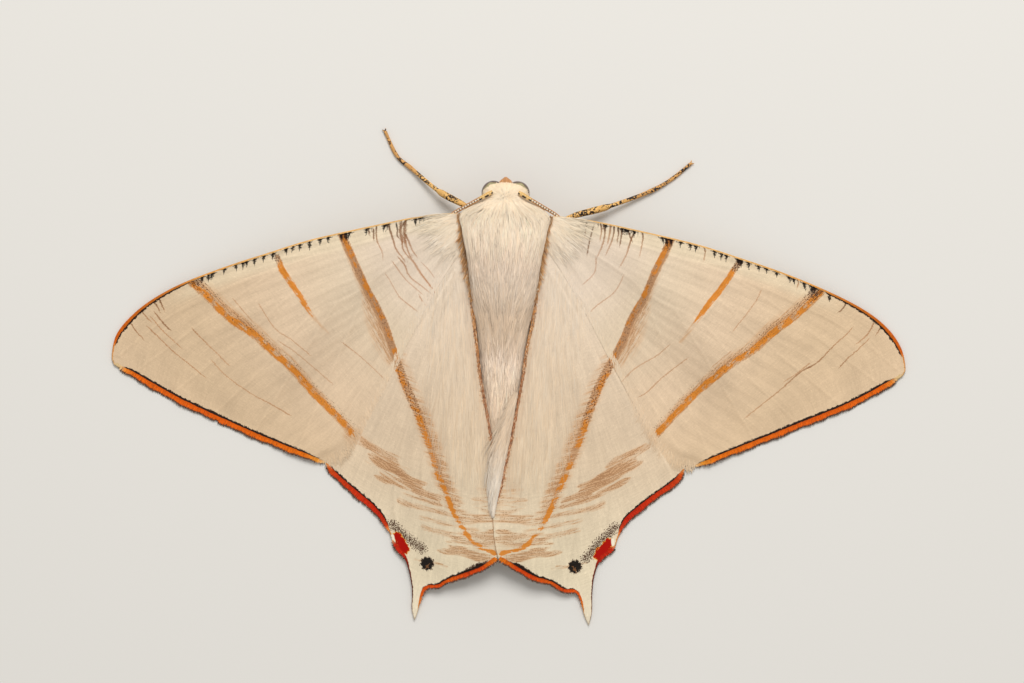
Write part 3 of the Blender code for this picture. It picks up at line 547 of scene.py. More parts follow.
class Net:
    """Short names for building one material's nodes."""

    def __init__(self, name):
        self.material = bpy.data.materials.new(name)
        self.material.use_nodes = True
        self.tree = self.material.node_tree
        self.shader = self.tree.nodes["Principled BSDF"]

    def node(self, kind, inputs, output=0, **settings):
        made = self.tree.nodes.new("ShaderNode" + kind)
        for key, value in settings.items():
            setattr(made, key, value)
        for key, value in inputs.items():
            self.plug(made.inputs[key], value)
        return Value(self, made.outputs[output])

    def plug(self, socket, value):
        if isinstance(value, Value):
            self.tree.links.new(value.socket, socket)
        elif isinstance(value, (int, float)):
            socket.default_value = value
        else:
            socket.default_value = (*value, 1.0) if len(value) < len(socket.default_value) else tuple(value)

    def math(self, operation, *values):
        return self.node("Math", dict(enumerate(values)), operation=operation)

    def attribute(self, name):
        """The vector of a named attribute."""
        return self.node("Attribute", {}, output="Vector", attribute_name=name)

    def colour(self, name):
        return self.node("Attribute", {}, output="Color", attribute_name=name)

    def parts(self, vector):
        split = self.tree.nodes.new("ShaderNodeSeparateXYZ")
        self.plug(split.inputs[0], vector)
        return [Value(self, socket) for socket in split.outputs]

    def join(self, x, y, z=0.0):
        return self.node("CombineXYZ", {0: x, 1: y, 2: z})

    def noise(self, vector, scale=1.0, detail=2.0, rough=0.5):
        inputs = {"Vector": vector, "Scale": scale, "Detail": detail, "Roughness": rough}
        return self.node("TexNoise", inputs)

    def step(self, value, low, high):
        """0 below low and 1 above high, smoothly between; high may lie below low."""
        inputs = {"Value": value, "From Min": low, "From Max": high}
        return self.node("MapRange", inputs, interpolation_type="SMOOTHSTEP")

    def mix(self, share, first, second):
        return self.node("Mix", {0: share, 6: first, 7: second}, output=2, data_type="RGBA")

    def scaled(self, colour, factor):
        """A colour made brighter or darker by a factor."""
        inputs = {0: 1.0, 6: colour, 7: self.node("CombineColor", {0: factor, 1: factor, 2: factor})}
        return self.node("Mix", inputs, output=2, data_type="RGBA", blend_type="MULTIPLY")

    def bump(self, height, distance, strength=1.0):
        inputs = {"Height": height, "Distance": distance * MM, "Strength": strength}
        return self.node("Bump", inputs)

    def finish(self, colour, roughness, normal=None, specular=0.5):
        self.plug(self.shader.inputs["Base Color"], colour)
        self.plug(self.shader.inputs["Roughness"], roughness)
        self.shader.inputs["Specular IOR Level"].default_value = specular
        if normal is not None:
            self.plug(self.shader.inputs["Normal"], normal)
        return self.material


# The unevenness of the scales: (waves down the rows, along them, place in the noise, detail, roughness)
SCALE_NOISES = {
    "hatch": (7.5, 0.75, 0.0, 2.0, 0.6),
    "grain": (11.0, 11.0, 3.0, 1.0, 0.5),
    "ragged": (3.5, 3.5, 11.0, 2.0, 0.5),
    "lines": (3.6, 0.28, 31.0, 2.0, 0.5),
    "fleck": (4.5, 7.0, 17.0, 1.0, 0.5),
    "dot": (11.0, 9.0, 21.0, 0.0, 0.5),
}


def wing_material():
    """Rows of scales: the ground, brown and orange scales along the rows, dark strokes and the margin."""
    net = Net("wing_scales")
    row, across, fan = net.parts(net.attribute("weave"))
    brown, orange, dark = net.parts(net.attribute("scales"))
    edge, rim, line = net.parts(net.attribute("margin"))
    tip, red, cream = net.parts(net.attribute("spots"))
    drift = net.noise(net.join(row * 0.7, across * 0.35, 5.0), detail=1.0)
    rows = net.math("SINE", (row + (drift - 0.5) * 1.2) * (2 * math.pi / ROW_PITCH)) * 0.5 + 0.5
    # Radial creases: their bump is added below, and in the colour they stand as painted light and shade
    streak = net.noise(net.join(row * 0.4, fan * 8.0, 7.0), detail=2.0)
    hatch, grain, ragged, lines, fleck, dot = [
        net.noise(net.join(row * down, across * along, place), detail=detail, rough=rough)
        for down, along, place, detail, rough in SCALE_NOISES.values()
    ]
    lines, dot, fleck = lines - 0.5, dot - 0.5, net.step(fleck, 0.6, 0.72)
    # The ground's brightness: the scales' uneven tone, and along the streaks painted light and shade of the radial
    # creases
    shade = 0.98 + (hatch - 0.5) * 0.2 + (grain - 0.5) * 0.22 + (streak - 0.5) * 0.2 + fleck * 0.1
    shade = shade + (ragged - 0.5) * 0.16
    colour = net.scaled(net.colour("ground_tint"), shade)
    uneven = (hatch - 0.5) * 1.1 + lines * 1.1
    soft = net.step(brown + uneven * net.step(brown, 0.02, 0.4), 0.06, 0.85)
    colour = net.mix(soft * 0.72, colour, BROWN_GROUND)
    patchy = (ragged - 0.5) * 0.8 + dot * 0.4 + (hatch - 0.5) * 1.4 + lines * 1.3
    orange_mask = net.step(orange + patchy * net.step(orange, 0.02, 0.3), 0.34, 0.66)
    colour = net.mix(orange_mask * 0.9, colour, ORANGE)
    dots = dot * 1.3 + (rows - 0.5) * 0.4 + (hatch - 0.5) * 1.5 + lines * 0.6
    brown_mask = net.step(brown * 0.92 + dots * net.step(brown, 0.12, 0.5), 0.56, 0.78)
    colour = net.mix(brown_mask * (0.5 - orange_mask * 0.25), colour, BROWN)
    speck = dot * 3.2 + (grain - 0.5) * 0.8
    colour = net.scaled(colour, 1.0 - net.step(dark, 0.2, 1.0) * 0.3)
    dark_mask = net.step(dark + speck * net.step(dark, 0.02, 0.2), 0.54, 0.72)
    colour = net.mix(dark_mask * 0.98, colour, net.mix(net.step(dark, 0.85, 1.0), DARK_BROWN, INK))
    for name in STROKE_SETS:
        far, half, ink = net.parts(net.attribute(name))
        level = net.math("ABSOLUTE", far + (ragged - 0.5) * 0.14) - half
        level = level + net.math("MAXIMUM", half - 0.06, 0.0) * dot * 6.0
        mask = net.step(level + (grain - 0.5) * 0.16, 0.045, -0.03)
        line_colour = net.mix(ink * ink * ink, STROKE_BROWN, INK)
        colour = net.mix(mask * (0.4 + ink * 0.55), colour, line_colour)
    red = red + (ragged - 0.5) * 0.6 + (grain - 0.5) * 0.2
    colour = net.mix(net.step(red, -0.04, 0.02), colour, FRINGE_YELLOW)
    colour = net.mix(net.step(red, 0.02, 0.07), colour, PATCH_RED)
    wobble = (ragged - 0.5) * 0.3 + (grain - 0.5) * 0.2
    in_line = net.step(edge + wobble, rim + line + 0.03, rim + line - 0.03)
    colour = net.mix(in_line * net.step(line, 0.01, 0.05), colour, LINE_BLACK)
    rim_colour = net.scaled(net.colour("rim_tint"), 0.9 + (grain - 0.5) * 0.5 + (ragged - 0.5) * 0.7)
    colour = net.mix(net.step(edge + wobble * 0.4, rim + 0.02, rim - 0.03), colour, rim_colour)
    colour = net.mix(net.step(edge + wobble * 0.3, 0.1, 0.04) * tip, colour, HAIR_TIP)
    colour = net.mix(net.step(cream + (ragged - 0.5) * 0.1, -0.02, 0.04), colour, NOTCH_CREAM)
    normal = net.bump(hatch * 0.6 + grain * 0.6 + streak * 0.8, 0.018, 0.6)
    return net.finish(colour, 0.6, normal, 0.12)


def tinted_material(name, roughness=0.65, specular=0.3):
    """A plain finish whose colours sit in the mesh."""
    net = Net(name)
    return net.finish(net.colour("tint"), roughness, None, specular)


# Which share of the rear edge each share of the front edge is joined to, and a forewing's size along the rows
FRONT_TO_REAR = ([0.0, 0.33, 0.72, 1.0], [0.0, 0.51, 0.86, 1.0])
WEAVE_LENGTH, WEAVE_WIDTH = 33.0, 18.0


def fore_weave(p, wing):
    """Rows across the veins from the front edge to the rear one: place along the veins and along the row."""
    shares = np.linspace(0.0, 1.12, 160)
    front, rear = spaced(wing["costa"], 0.15), spaced(wing["inner"], 0.15)[::-1]
    matched = np.interp(shares, *FRONT_TO_REAR)

    def along(line, at):
        k = np.clip(at, 0, 1) * (len(line) - 1)
        return np.column_stack([np.interp(k, np.arange(len(line)), line[:, a]) for a in (0, 1)])

    past = np.maximum(shares - 1, 0)[:, None] * np.array([14.0, -30.0])
    a, b = along(front, shares) + past, along(rear, matched) + past
    row, across = np.zeros(len(p)), np.full(len(p), 5.0)
    last = None
    for k in range(len(shares)):
        span = b[k] - a[k]
        away = p - a[k]
        over = (span[0] * away[:, 1] - span[1] * away[:, 0]) / math.hypot(*span)
        if last is not None:
            hit = (np.sign(last) != np.sign(over)) & (row == 0)
            share = last[hit] / (last[hit] - over[hit])
            row[hit] = shares[k - 1] + (shares[k] - shares[k - 1]) * share
            across[hit] = (away[hit] @ span) / (span @ span)
        last = over
    return row * WEAVE_LENGTH, across * WEAVE_WIDTH


def veins_near(p, veins):
    """Signed distance to the nearest vein, its nearest whole distance first."""
    best, found = np.full(len(p), 1e9), np.zeros(len(p))
    for vein in veins:
        far, side, _, _ = near_line(p, spaced(vein, 0.6))
        closer = far < best
        best[closer], found[closer] = far[closer], (far * side)[closer]
    return best, found


def fitted(veins, right, own):
    """The right-hand wing's veins, stretched over another outline with the same edges."""
    def ends(wing):
        points = np.array([p for edge in wing.values() if isinstance(edge, list) for p in edge])
        return points.min(0), points.max(0)

    (low, high), (own_low, own_high) = ends(right), ends(own)
    return [own_low + (np.array(vein) - low) * (own_high - own_low) / (high - low) for vein in veins]


def ripples(p, seed, size, count=9):
    """Soft unevenness about 0, with waves of about one size."""
    rng = np.random.default_rng(seed)
    total = np.zeros(len(p))
    for _ in range(count):
        turn, phase = rng.uniform(0, 2 * math.pi, 2)
        wave = 2 * math.pi / (size * rng.uniform(0.6, 1.7))
        total += np.sin(wave * (p[:, 0] * math.cos(turn) + p[:, 1] * math.sin(turn)) + phase)
    return total / math.sqrt(count)


def hindwing_height(p):
    flat = between(HINDWING_FLAT_X, p[:, 1])
    ridge = np.maximum(between(HINDWING_RIDGE, p[:, 1]), 0.0)
    return ridge * (1 - rise(p[:, 0], RIDGE_X, flat))


def forewing_height(p, reach, below):
    """The solid's lower face, and how far a point lies over the hindwing."""
    dx, dy = p[:, 0] - FOREWING_HINGE[0], p[:, 1] - FOREWING_HINGE[1]
    turn = np.clip((APEX_ANGLE - np.arctan2(dy, dx)) / (APEX_ANGLE - TORNUS_ANGLE), 0, 1)
    flat_from = FOREWING_FLAT * (reach + (TORNUS_REACH - reach) * turn)
    slope = FOREWING_HINGE_Z * np.maximum(0.0, 1 - np.hypot(dx, dy) / flat_from) ** FOREWING_DROOP
    away = np.where(inside(p, below), 0.0, near_line(p, np.concatenate([below, below[:1]]))[0])
    over = 1 - rise(away, STACK_FULL, STACK_FULL + STACK_FADE)
    stacked = (hindwing_height(p) + STACK) * over
    blend = STACK_BLEND * over + 1e-6
    near = np.maximum(blend - np.abs(slope - stacked), 0.0) / blend
    return np.maximum(slope, stacked) + near * near * blend / 4, over


def margin_rows(p, curve, rows):
    """Distance to one edge of a wing, and the width, line, tip and colour that its rows give there."""
    line = spaced(curve, 0.12)
    far, _, along, _ = near_line(p, line)
    share = along / run_of(line)[-1]
    at = [row[0] for row in rows]
    sizes = [np.interp(share, at, [row[k] for row in rows]) for k in (1, 2, 3)]
    tint = np.column_stack([np.interp(share, at, [row[4][k] for row in rows]) for k in range(3)])
    return far, *sizes, tint


# Rows along an edge: (share of its length, rim width, dark line width, dark hair tips, rim colour)
COSTA_ROWS = [
    (0.0, 0.06, 0.0, 0.0, lin(232, 208, 170)), (0.1, 0.12, 0.0, 0.0, lin(240, 192, 126)),
    (0.5, 0.13, 0.0, 0.0, lin(238, 182, 106)), (0.68, 0.14, 0.0, 0.0, lin(232, 160, 78)),
    (0.72, 0.17, 0.1, 0.0, lin(212, 128, 50)), (0.8, 0.2, 0.14, 0.0, lin(206, 112, 32)),
    (0.9, 0.27, 0.15, 0.0, lin(208, 98, 14)), (0.94, 0.22, 0.1, 0.0, lin(210, 96, 16)),
    (0.955, 0.14, 0.0, 0.0, lin(220, 140, 66)), (1.0, 0.1, 0.0, 0.0, lin(228, 186, 132)),
]
TERMEN_ROWS = [
    (0.0, 0.3, 0.0, 0.1, lin(228, 200, 152)), (0.03, 0.3, 0.0, 0.4, lin(226, 188, 132)),
    (0.05, 0.34, 0.1, 1.0, lin(226, 130, 40)), (0.1, 0.4, 0.18, 1.0, FRINGE_ORANGE),
    (0.45, 0.42, 0.2, 1.0, lin(222, 92, 4)), (0.75, 0.42, 0.18, 1.0, lin(224, 104, 6)),
    (0.9, 0.38, 0.15, 0.9, lin(228, 112, 8)), (0.96, 0.3, 0.05, 0.4, lin(232, 150, 50)),
    (1.0, 0.1, 0.0, 0.2, lin(224, 196, 150)),
]
HIND_TERMEN_ROWS = [
    (0.0, 0.12, 0.0, 0.2, lin(214, 140, 70)), (0.03, 0.34, 0.06, 0.7, lin(204, 78, 10)),
    (0.08, 0.4, 0.14, 0.8, lin(204, 58, 4)), (0.26, 0.44, 0.15, 0.8, lin(202, 46, 2)),
    (0.4, 0.42, 0.14, 0.8, FRINGE_RED), (0.46, 0.25, 0.05, 0.3, lin(206, 60, 10)),
    (0.49, 0.12, 0.0, 0.0, lin(236, 150, 70)), (0.54, 0.1, 0.0, 0.2, lin(232, 170, 110)),
    (0.57, 0.3, 0.0, 0.6, FRINGE_RED), (0.64, 0.3, 0.0, 0.8, FRINGE_RED),
    (0.7, 0.15, 0.0, 0.6, lin(126, 26, 10)), (0.83, 0.1, 0.0, 0.5, lin(96, 32, 18)),
    (0.93, 0.06, 0.0, 0.2, lin(150, 96, 60)), (1.0, 0.04, 0.0, 0.0, TAIL_CREAM),
]
TAIL_ROWS = [
    (0.0, 0.03, 0.0, 0.0, TAIL_CREAM), (0.1, 0.05, 0.0, 0.0, lin(226, 190, 140)),
    (0.15, 0.12, 0.0, 0.1, lin(224, 134, 44)), (0.24, 0.17, 0.0, 0.3, lin(220, 92, 6)),
    (0.31, 0.22, 0.05, 0.6, lin(214, 78, 4)), (0.42, 0.26, 0.13, 1.0, lin(212, 70, 4)),
    (0.55, 0.3, 0.16, 1.0, lin(218, 90, 6)), (0.7, 0.32, 0.22, 1.0, lin(212, 66, 4)),
    (0.85, 0.34, 0.3, 1.0, lin(214, 72, 4)), (0.89, 0.36, 0.04, 0.8, lin(216, 92, 6)),
    (1.0, 0.36, 0.0, 0.3, lin(220, 120, 24)),
]


def margin_of(p, edges):
    """The nearest of several edges: distance, rim, line, tip and rim colour."""
    found = [margin_rows(p, curve, rows) for curve, rows in edges]
    pick = np.argmin(np.stack([item[0] for item in found]), axis=0)
    chosen = [np.choose(pick, [item[k] for item in found]) for k in range(4)]
    tint = np.stack([item[4] for item in found])[pick, np.arange(len(p))]
    return (*chosen, tint)


STROKE_SETS = ("stroke_a", "stroke_b", "stroke_c", "stroke_d")


def stroke_fields(p, strokes):
    """Sets of (signed distance, half width, darkness), with neighbouring strokes in different sets."""
    sets = [[] for _ in STROKE_SETS]
    for *look, points in strokes:
        line = spaced(points, 0.2)
        gaps = [
            min([np.linalg.norm(line[:, None] - other, axis=2).min() for _, other in made], default=99.0)
            for made in sets
        ]
        sets[int(np.argmax(gaps))].append((look, line))
    fields = []
    for made in sets:
        best = np.full(len(p), 1e9)
        field = columns(np.full(len(p), 1.0), np.full(len(p), NO_LINE), np.zeros(len(p)))
        for (from_half, to_half, from_ink, to_ink), line in made:
            low, high = line.min(0) - 0.6, line.max(0) + 0.6
            close = np.nonzero(((p > low) & (p < high)).all(1))[0]
            if not len(close):
                continue
            far, side, along, _ = near_line(p[close], line)
            share = along / run_of(line)[-1]
            half = from_half + (to_half - from_half) * share
            closer = (far < half + 0.3) & (far - half < best[close])
            at = close[closer]
            best[at] = (far - half)[closer]
            field[at, 0] = (far * side)[closer]
            field[at, 1] = half[closer]
            field[at, 2] = (from_ink + (to_ink - from_ink) * share)[closer]
        fields.append(field)
    return fields


def tick_strokes(name):
    """The short dark ticks along the front edge: a bar under the rim, and a prong from it."""
    edge = spaced(FOREWING[name]["costa"], 0.1)
    rng = np.random.default_rng(5)
    made = []

    def under(at, down):
        return np.array([at, np.interp(at, edge[:, 0], edge[:, 1]) - down])

    for x, length in TICKS[name]:
        half = rng.uniform(0.01, 0.09)
        made.append((0.1, 0.08, 1.0, 1.0, [under(x - half, 0.2), under(x + half * 0.6, 0.2)]))
        lean, size = rng.uniform(-0.15, 0.25), 0.7 * length
        prong = [under(x, 0.14), under(x + lean * size, 0.14 + size)]
        made.append((rng.uniform(0.11, 0.14), 0.11, 1.0, 1.0, prong))
    return made


def two_faces(p, quads, rim, low, thick):
    """Corner points and faces of a closed sheet with its lower face at low; quads face up."""
    count = len(p)
    verts = np.concatenate([columns(p, low + thick), columns(p, low)])
    wall = np.stack([rim[:, 0] + count, rim[:, 1] + count, rim[:, 1], rim[:, 0]], -1)
    return verts, [np.concatenate([quads, quads[:, ::-1] + count, wall])]


def flat_map(p, around):
    """Places of a wing seen flat, in the left half of its map; around holds the wing's furthest places."""
    low, high = around.min(0), around.max(0)
    return (p - low) / (high - low).max() * MAP_SIZE + MAP_EDGE


def tinted(base, factor):
    return base * np.asarray(factor)[:, None]


def mixed(first, second, share):
    share = np.asarray(share)[:, None]
    return first * (1 - share) + second * share


def doubled(values):
    """Values of the upper face, and the same for the lower one."""
    return np.concatenate([values, values])


# The rear edges' rows, and the ground's colour against the distance from the hinge or against Y
INNER_ROWS = [(0.0, 0.0, 0.0, 0.0, lin(226, 204, 176)), (1.0, 0.0, 0.0, 0.0, lin(226, 204, 176))]
HIND_INNER_ROWS = [(0.0, 0.03, 0.0, 0.0, lin(222, 180, 136)), (0.45, 0.06, 0.0, 0.0, lin(190, 128, 84)),
                   (1.0, 0.1, 0.0, 0.0, lin(196, 134, 80))]
FORE_GROUND = [
    (0.0, *lin(234, 217, 194)), (5.0, *lin(230, 211, 189)), (10.0, *lin(226, 205, 177)),
    (16.0, *lin(224, 198, 167)), (24.0, *lin(219, 191, 156)), (34.0, *lin(220, 192, 158)),
]
COSTAL_STRIP = lin(237, 219, 186)
HIND_GROUND = [
    (-23.0, *lin(234, 220, 194)), (-18.0, *lin(233, 217, 186)), (-13.0, *lin(228, 209, 179)),
    (-8.0, *lin(224, 201, 171)), (0.0, *lin(225, 203, 176)), (8.0, *lin(228, 210, 188)),
]
# Along a band, against Y: how far its brown shade reaches, and how strong its orange is
AM_SHADE = [(-3.0, 0.1), (-1.5, 0.3), (-0.5, 0.9), (0.5, 1.6), (1.5, 2.2), (3.0, 2.2), (4.5, 1.9),
            (5.6, 1.2), (6.2, 0.7), (8.0, 0.6), (10.0, 0.4)]
AM_GLOW = [(-8.0, 0.45), (-2.0, 0.4), (-0.6, 0.7), (0.3, 0.85), (1.2, 0.5), (3.5, 0.45), (5.0, 0.55),
           (5.8, 0.95), (6.6, 0.85), (7.3, 0.45), (8.3, 0.7), (9.3, 0.9), (10.2, 0.75)]
PM_SHADE = [(-7.0, 0.5), (-3.0, 0.9), (0.0, 1.1), (3.0, 1.4), (5.6, 1.5), (6.8, 0.7)]
# The sheets' thickness, the front edge's rib, and how the sheets lie over the solids' lower faces
THIN, COSTA_THICK, COSTA_HALF = 0.07, 0.15, 0.22
FORE_LIFT, FORE_SINK = 0.12, 0.8
HIND_LIFT, HIND_RAISED = 0.12, 0.1
# How far in from its rear edge a forewing comes down onto the hindwing, and the height left between them
REAR_LAID, REAR_GAP = 1.3, 0.015


def table(rows, at):
    """Straight-line values of a table of (place, value) rows."""
    return np.interp(at, [row[0] for row in rows], [row[1] for row in rows])


def bell(value, width):
    return np.exp(-((value / width) ** 2))


def vein_light_and_shade(vein, vein_signed):
    """How much lighter the crest of a vein is than the ground, its paler colour with a painted highlight, and how
    much darker one side of it is, as painted shade.
    """
    return 1 + 0.035 * bell(vein, 0.1) - 0.03 * bell(vein_signed - 0.22, 0.12)


def forewing_form(name, p):
    """The height and thickness of a forewing at places, and what its pattern needs."""
    wing = FOREWING[name]
    below = outline_of(HINDWING[name], HIND_ORDER, 0.5)
    low, over = forewing_height(p, wing["reach"], below)
    vein, vein_signed = veins_near(p, fitted(FOREWING_VEINS, FOREWING["right"], wing))
    row, across = fore_weave(p, wing)
    rho = np.hypot(p[:, 0] - FOREWING_HINGE[0], p[:, 1] - FOREWING_HINGE[1])
    folds = ripples(columns(row * 0.12, across), 3, 1.5)
    swell = ripples(p, 4, 9.0)
    edge, rim, line, tip, rim_tint = margin_of(
        p, [(wing["costa"], COSTA_ROWS), (wing["termen"], TERMEN_ROWS), (wing["inner"], INNER_ROWS)]
    )
    relief = 0.045 * bell(vein, 0.14) + 0.04 * folds * rise(rho, 2, 12)
    relief = relief + 0.05 * (swell + 1) * rise(edge, 0, 3)
    z = np.maximum(low - FORE_SINK * over + FORE_LIFT + relief, 0.03)
    costa = far_from(p, wing["costa"])
    thick = THIN + COSTA_THICK * bell(costa, COSTA_HALF) * (1 - 0.5 * rise(rho, 10, 30))
    rear = far_from(p, wing["inner"])
    laid = (rear < REAR_LAID) & (costa > 1.0)
    if laid.any():
        flush = top_of(hindwing_form, name, p[laid]) - thick[laid] + REAR_GAP
        z[laid] += (flush - z[laid]) * (1 - rise(rear[laid], 0.1, REAR_LAID)) * rise(costa[laid], 1.0, 2.0)
    return z, thick, (row, across, rho, folds, costa, vein, vein_signed, edge, rim, line, tip, rim_tint)


def forewing_sheet(name, p):
    """Everything that varies over a forewing: heights, thickness and the fields of its pattern."""
    z, thick, form = forewing_form(name, p)
    row, across, rho, folds, costa, vein, vein_signed, edge, rim, line, tip, rim_tint = form

    am, am_foot = signed(p, AM_BAND[name][:11])
    core = band(am, -0.33, 0.25, 0.1)
    glow = table(AM_GLOW, am_foot[:, 1]) * (0.75 + 0.45 * ripples(p, 21, 1.2))
    fade = 1 - rise(am, 0.1, table(AM_SHADE, am_foot[:, 1]) + 0.15)
    brown = core * 0.8 + 0.66 * fade * (am > -0.33)
    orange = glow * band(am, -0.34, 0.12, 0.1)
    dark = 0.2 * core * (1 - 0.4 * glow) + 0.5 * core * rise(am_foot[:, 1], 9.7, 10.5)

    pm, pm_foot = signed(p, PM_BAND[name])
    inner = rise(pm, -table(PM_SHADE, pm_foot[:, 1]), 0.0) * (pm < 0.42)
    brown = np.maximum(brown, 0.78 * inner)
    orange = np.maximum(orange, (0.74 + 0.34 * ripples(p, 22, 1.0)) * band(pm, -0.2, 0.36, 0.1))
    head = rise(pm_foot[:, 1], 5.6, 6.4)
    dark = np.maximum(dark, band(pm, -0.7, 0.25, 0.1) * (0.14 + 0.6 * head) * (pm_foot[:, 1] > -6))

    bar, bar_foot = signed(p, DISCAL[name])
    down = rise(-bar_foot[:, 1], -9.2, -2.2)
    across_bar = 1 - rise(np.abs(bar), 0.18 - 0.08 * down, 0.34)
    core = 0.16 * band(bar_foot[:, 1], 4.0, 9.0, 1.8)
    bar_orange = 1 - rise(np.abs(bar), core, core + 0.2)
    bar_orange = (0.86 + 0.14 * ripples(p, 23, 0.9)) * bar_orange * band(bar_foot[:, 1], 3.9, 8.5, 0.8)
    orange = np.maximum(orange, bar_orange)
    brown = np.maximum(brown, across_bar * (0.75 - 0.4 * down))
    dark = np.maximum(dark, across_bar * 0.7 * rise(bar_foot[:, 1], 8.0, 8.7))

    smudge = bell(np.hypot(*(p - SMUDGE).T), 0.7)
    brown = np.maximum(brown, 0.5 * smudge)
    orange = np.maximum(orange, 0.25 * smudge)

    ground = between(FORE_GROUND, rho)
    ground = mixed(ground, COSTAL_STRIP, 0.55 * (1 - rise(costa, 0.9, 1.8)) * (1 - rise(rho, 22, 27)))
    # Uneven tone of the ground, with painted light and shade along the folds: lighter on their ridges, darker in
    # their hollows
    tone_and_fold_shade = 1 + 0.018 * ripples(p, 23, 7.0) + 0.015 * ripples(p, 24, 1.8) + 0.02 * folds
    if name == "left":
        tone_and_fold_shade = tone_and_fold_shade * (1 - 0.05 * rise(rho, 12, 26))
    ground = tinted(ground, tone_and_fold_shade * vein_light_and_shade(vein, vein_signed))
    strokes = STROKES[name] + tick_strokes(name)
    none = np.full(len(p), -1.0)
    return z, thick, {
        "ground_tint": ground, "rim_tint": rim_tint,
        "weave": columns(row, across, across),
        "scales": columns(brown, orange, dark),
        "margin": columns(edge, rim, line),
        "spots": columns(tip, none, none),
    }, strokes


def hindwing_form(name, p):
    wing = HINDWING[name]
    low = hindwing_height(p)
    vein, vein_signed = veins_near(p, fitted(HINDWING_VEINS, HINDWING["right"], wing))
    row = p[:, 1] - 0.025 * p[:, 0] ** 2
    fan = np.arctan2(p[:, 0] - 1.0, 14.0 - p[:, 1]) * 18.0
    edge, rim, line, tip, rim_tint = margin_of(p, [
        (wing["termen"], HIND_TERMEN_ROWS), (wing["tail"], TAIL_ROWS), (wing["inner"], HIND_INNER_ROWS),
        (wing["costa"], INNER_ROWS),
    ])
    folds = ripples(columns(row * 0.08, fan), 6, 1.3)
    relief = 0.03 * bell(vein, 0.15) + 0.03 * folds + 0.05 * (ripples(p, 7, 8.0) + 1) * rise(edge, 0, 3)
    overlap = 1 - rise(p[:, 0], 0.0, 0.7)
    relief = relief + overlap * (0.08 if name == "right" else -0.1)
    z = np.maximum(low + HIND_LIFT + HIND_RAISED * rise(low, 0.0, 1.2) + relief, 0.03)
    thick = np.full(len(p), THIN)
    return z, thick, (row, fan, folds, vein, vein_signed, edge, rim, line, tip, rim_tint)


def hindwing_sheet(name, p):
    """Everything that varies over a hindwing, as for a forewing."""
    wing = HINDWING[name]
    fit = HIND_FIT[name]
    z, thick, (row, fan, folds, vein, vein_signed, edge, rim, line, tip, rim_tint) = hindwing_form(name, p)
    am, am_foot = signed(p, AM_BAND[name])
    y = am_foot[:, 1]
    wide = table(HIND_LINE_WIDTH, y)
    core = 1 - rise(np.abs(am), wide * 0.7, wide * 1.5)
    bleed = 1 - rise(np.abs(am + 0.2), 0.3, 1.3)
    brown = np.maximum(core * table(HIND_LINE_BROWN, y), bleed * table(HIND_LINE_BLEED, y))
    glow = table(HIND_LINE_ORANGE, y)
    orange = (1 - rise(np.abs(am - 0.08), wide * 0.4, wide * 1.3)) * (glow + 0.3 * ripples(p, 31, 1.5))
    dark = 0.22 * core * rise(y, -9.0, -3.0)
    for inner_end, outer_end, half, strength in HATCHES:
        line_of = np.array([inner_end, outer_end]) * fit
        far, _, along, _ = near_line(p, line_of)
        length = math.hypot(*(line_of[1] - line_of[0]))
        ends = band(along / length, 0.0, 1.0, 0.12) * 0.35 + 0.65
        solid = half * (0.65 + 0.35 * ripples(columns(row * 2.0, p[:, 0] * 0.4), 32, 1.2))
        brown = np.maximum(brown, strength * 0.8 * ends * (1 - rise(far, solid, solid + half * 0.6)))
    for points in PALE_STREAKS:
        far = far_from(p, np.array(points) * fit, 0.4)
        brown = brown * (1 - 0.85 * bell(far, 0.09))
    inner_line = far_from(p, wing["inner"])
    bars = 0.8 + 0.2 * np.sin(row * 2 * math.pi / 0.5)
    brown = np.maximum(brown, 0.55 * bars * (1 - rise(inner_line, 0.15, 1.3)) * rise(p[:, 1], -14.5, -12.0))
    brown = np.maximum(brown, 0.8 * (1 - rise(inner_line, 0.05, 0.3)) * rise(p[:, 1], -13.0, -11.0))

    red = 0.42 - near_line(p, RED_PATCH[name][0])[0]
    cream = 0.14 - near_line(p, RED_PATCH[name][1])[0]
    speck = far_from(p, SPECKS[name])
    dark = np.maximum(dark, 0.8 * (1 - rise(speck, 0.0, 0.75)))
    dark = np.maximum(dark, 0.9 * (1 - rise(near_line(p, CORNER_DUST)[0], 0.02, 0.25)))
    brown = np.maximum(brown, 0.5 * (1 - rise(near_line(p, EYE_STREAK * fit)[0], 0.02, 0.18)))

    ground = between(HIND_GROUND, p[:, 1])
    # Uneven tone of the ground, with painted light and shade along the folds: lighter on their ridges, darker in
    # their hollows
    tone_and_fold_shade = 1 + 0.015 * ripples(p, 33, 6.0) + 0.015 * ripples(p, 34, 1.8) + 0.03 * folds
    ground = tinted(ground, tone_and_fold_shade * vein_light_and_shade(vein, vein_signed))
    eye_at = EYE_SPOT[name]
    dx, dy = (p - eye_at).T
    spot, spikes = np.hypot(dx, dy), 0.06 * np.sin(9 * np.arctan2(dy, dx))
    strokes = [(0.12, 0.08, 0.0, 0.0, [eye_at - (0.02, 0.24), eye_at - (-0.02, 0.3)])]
    dark = np.maximum(dark, 2.2 * (1 - rise(spot + spikes, 0.3, 0.72)))
    return z, thick, {
        "ground_tint": ground, "rim_tint": rim_tint,
        "weave": columns(row, p[:, 0], fan),
        "scales": columns(brown, orange, dark),
        "margin": columns(edge, rim, line),
        "spots": columns(tip, red, cream),
    }, strokes


# The kinds of wing: the outlines, their edges in turn, the form and the whole sheet
WINGS = {
    "forewing": (FOREWING, FORE_ORDER, forewing_form, forewing_sheet),
    "hindwing": (HINDWING, HIND_ORDER, hindwing_form, hindwing_sheet),
}


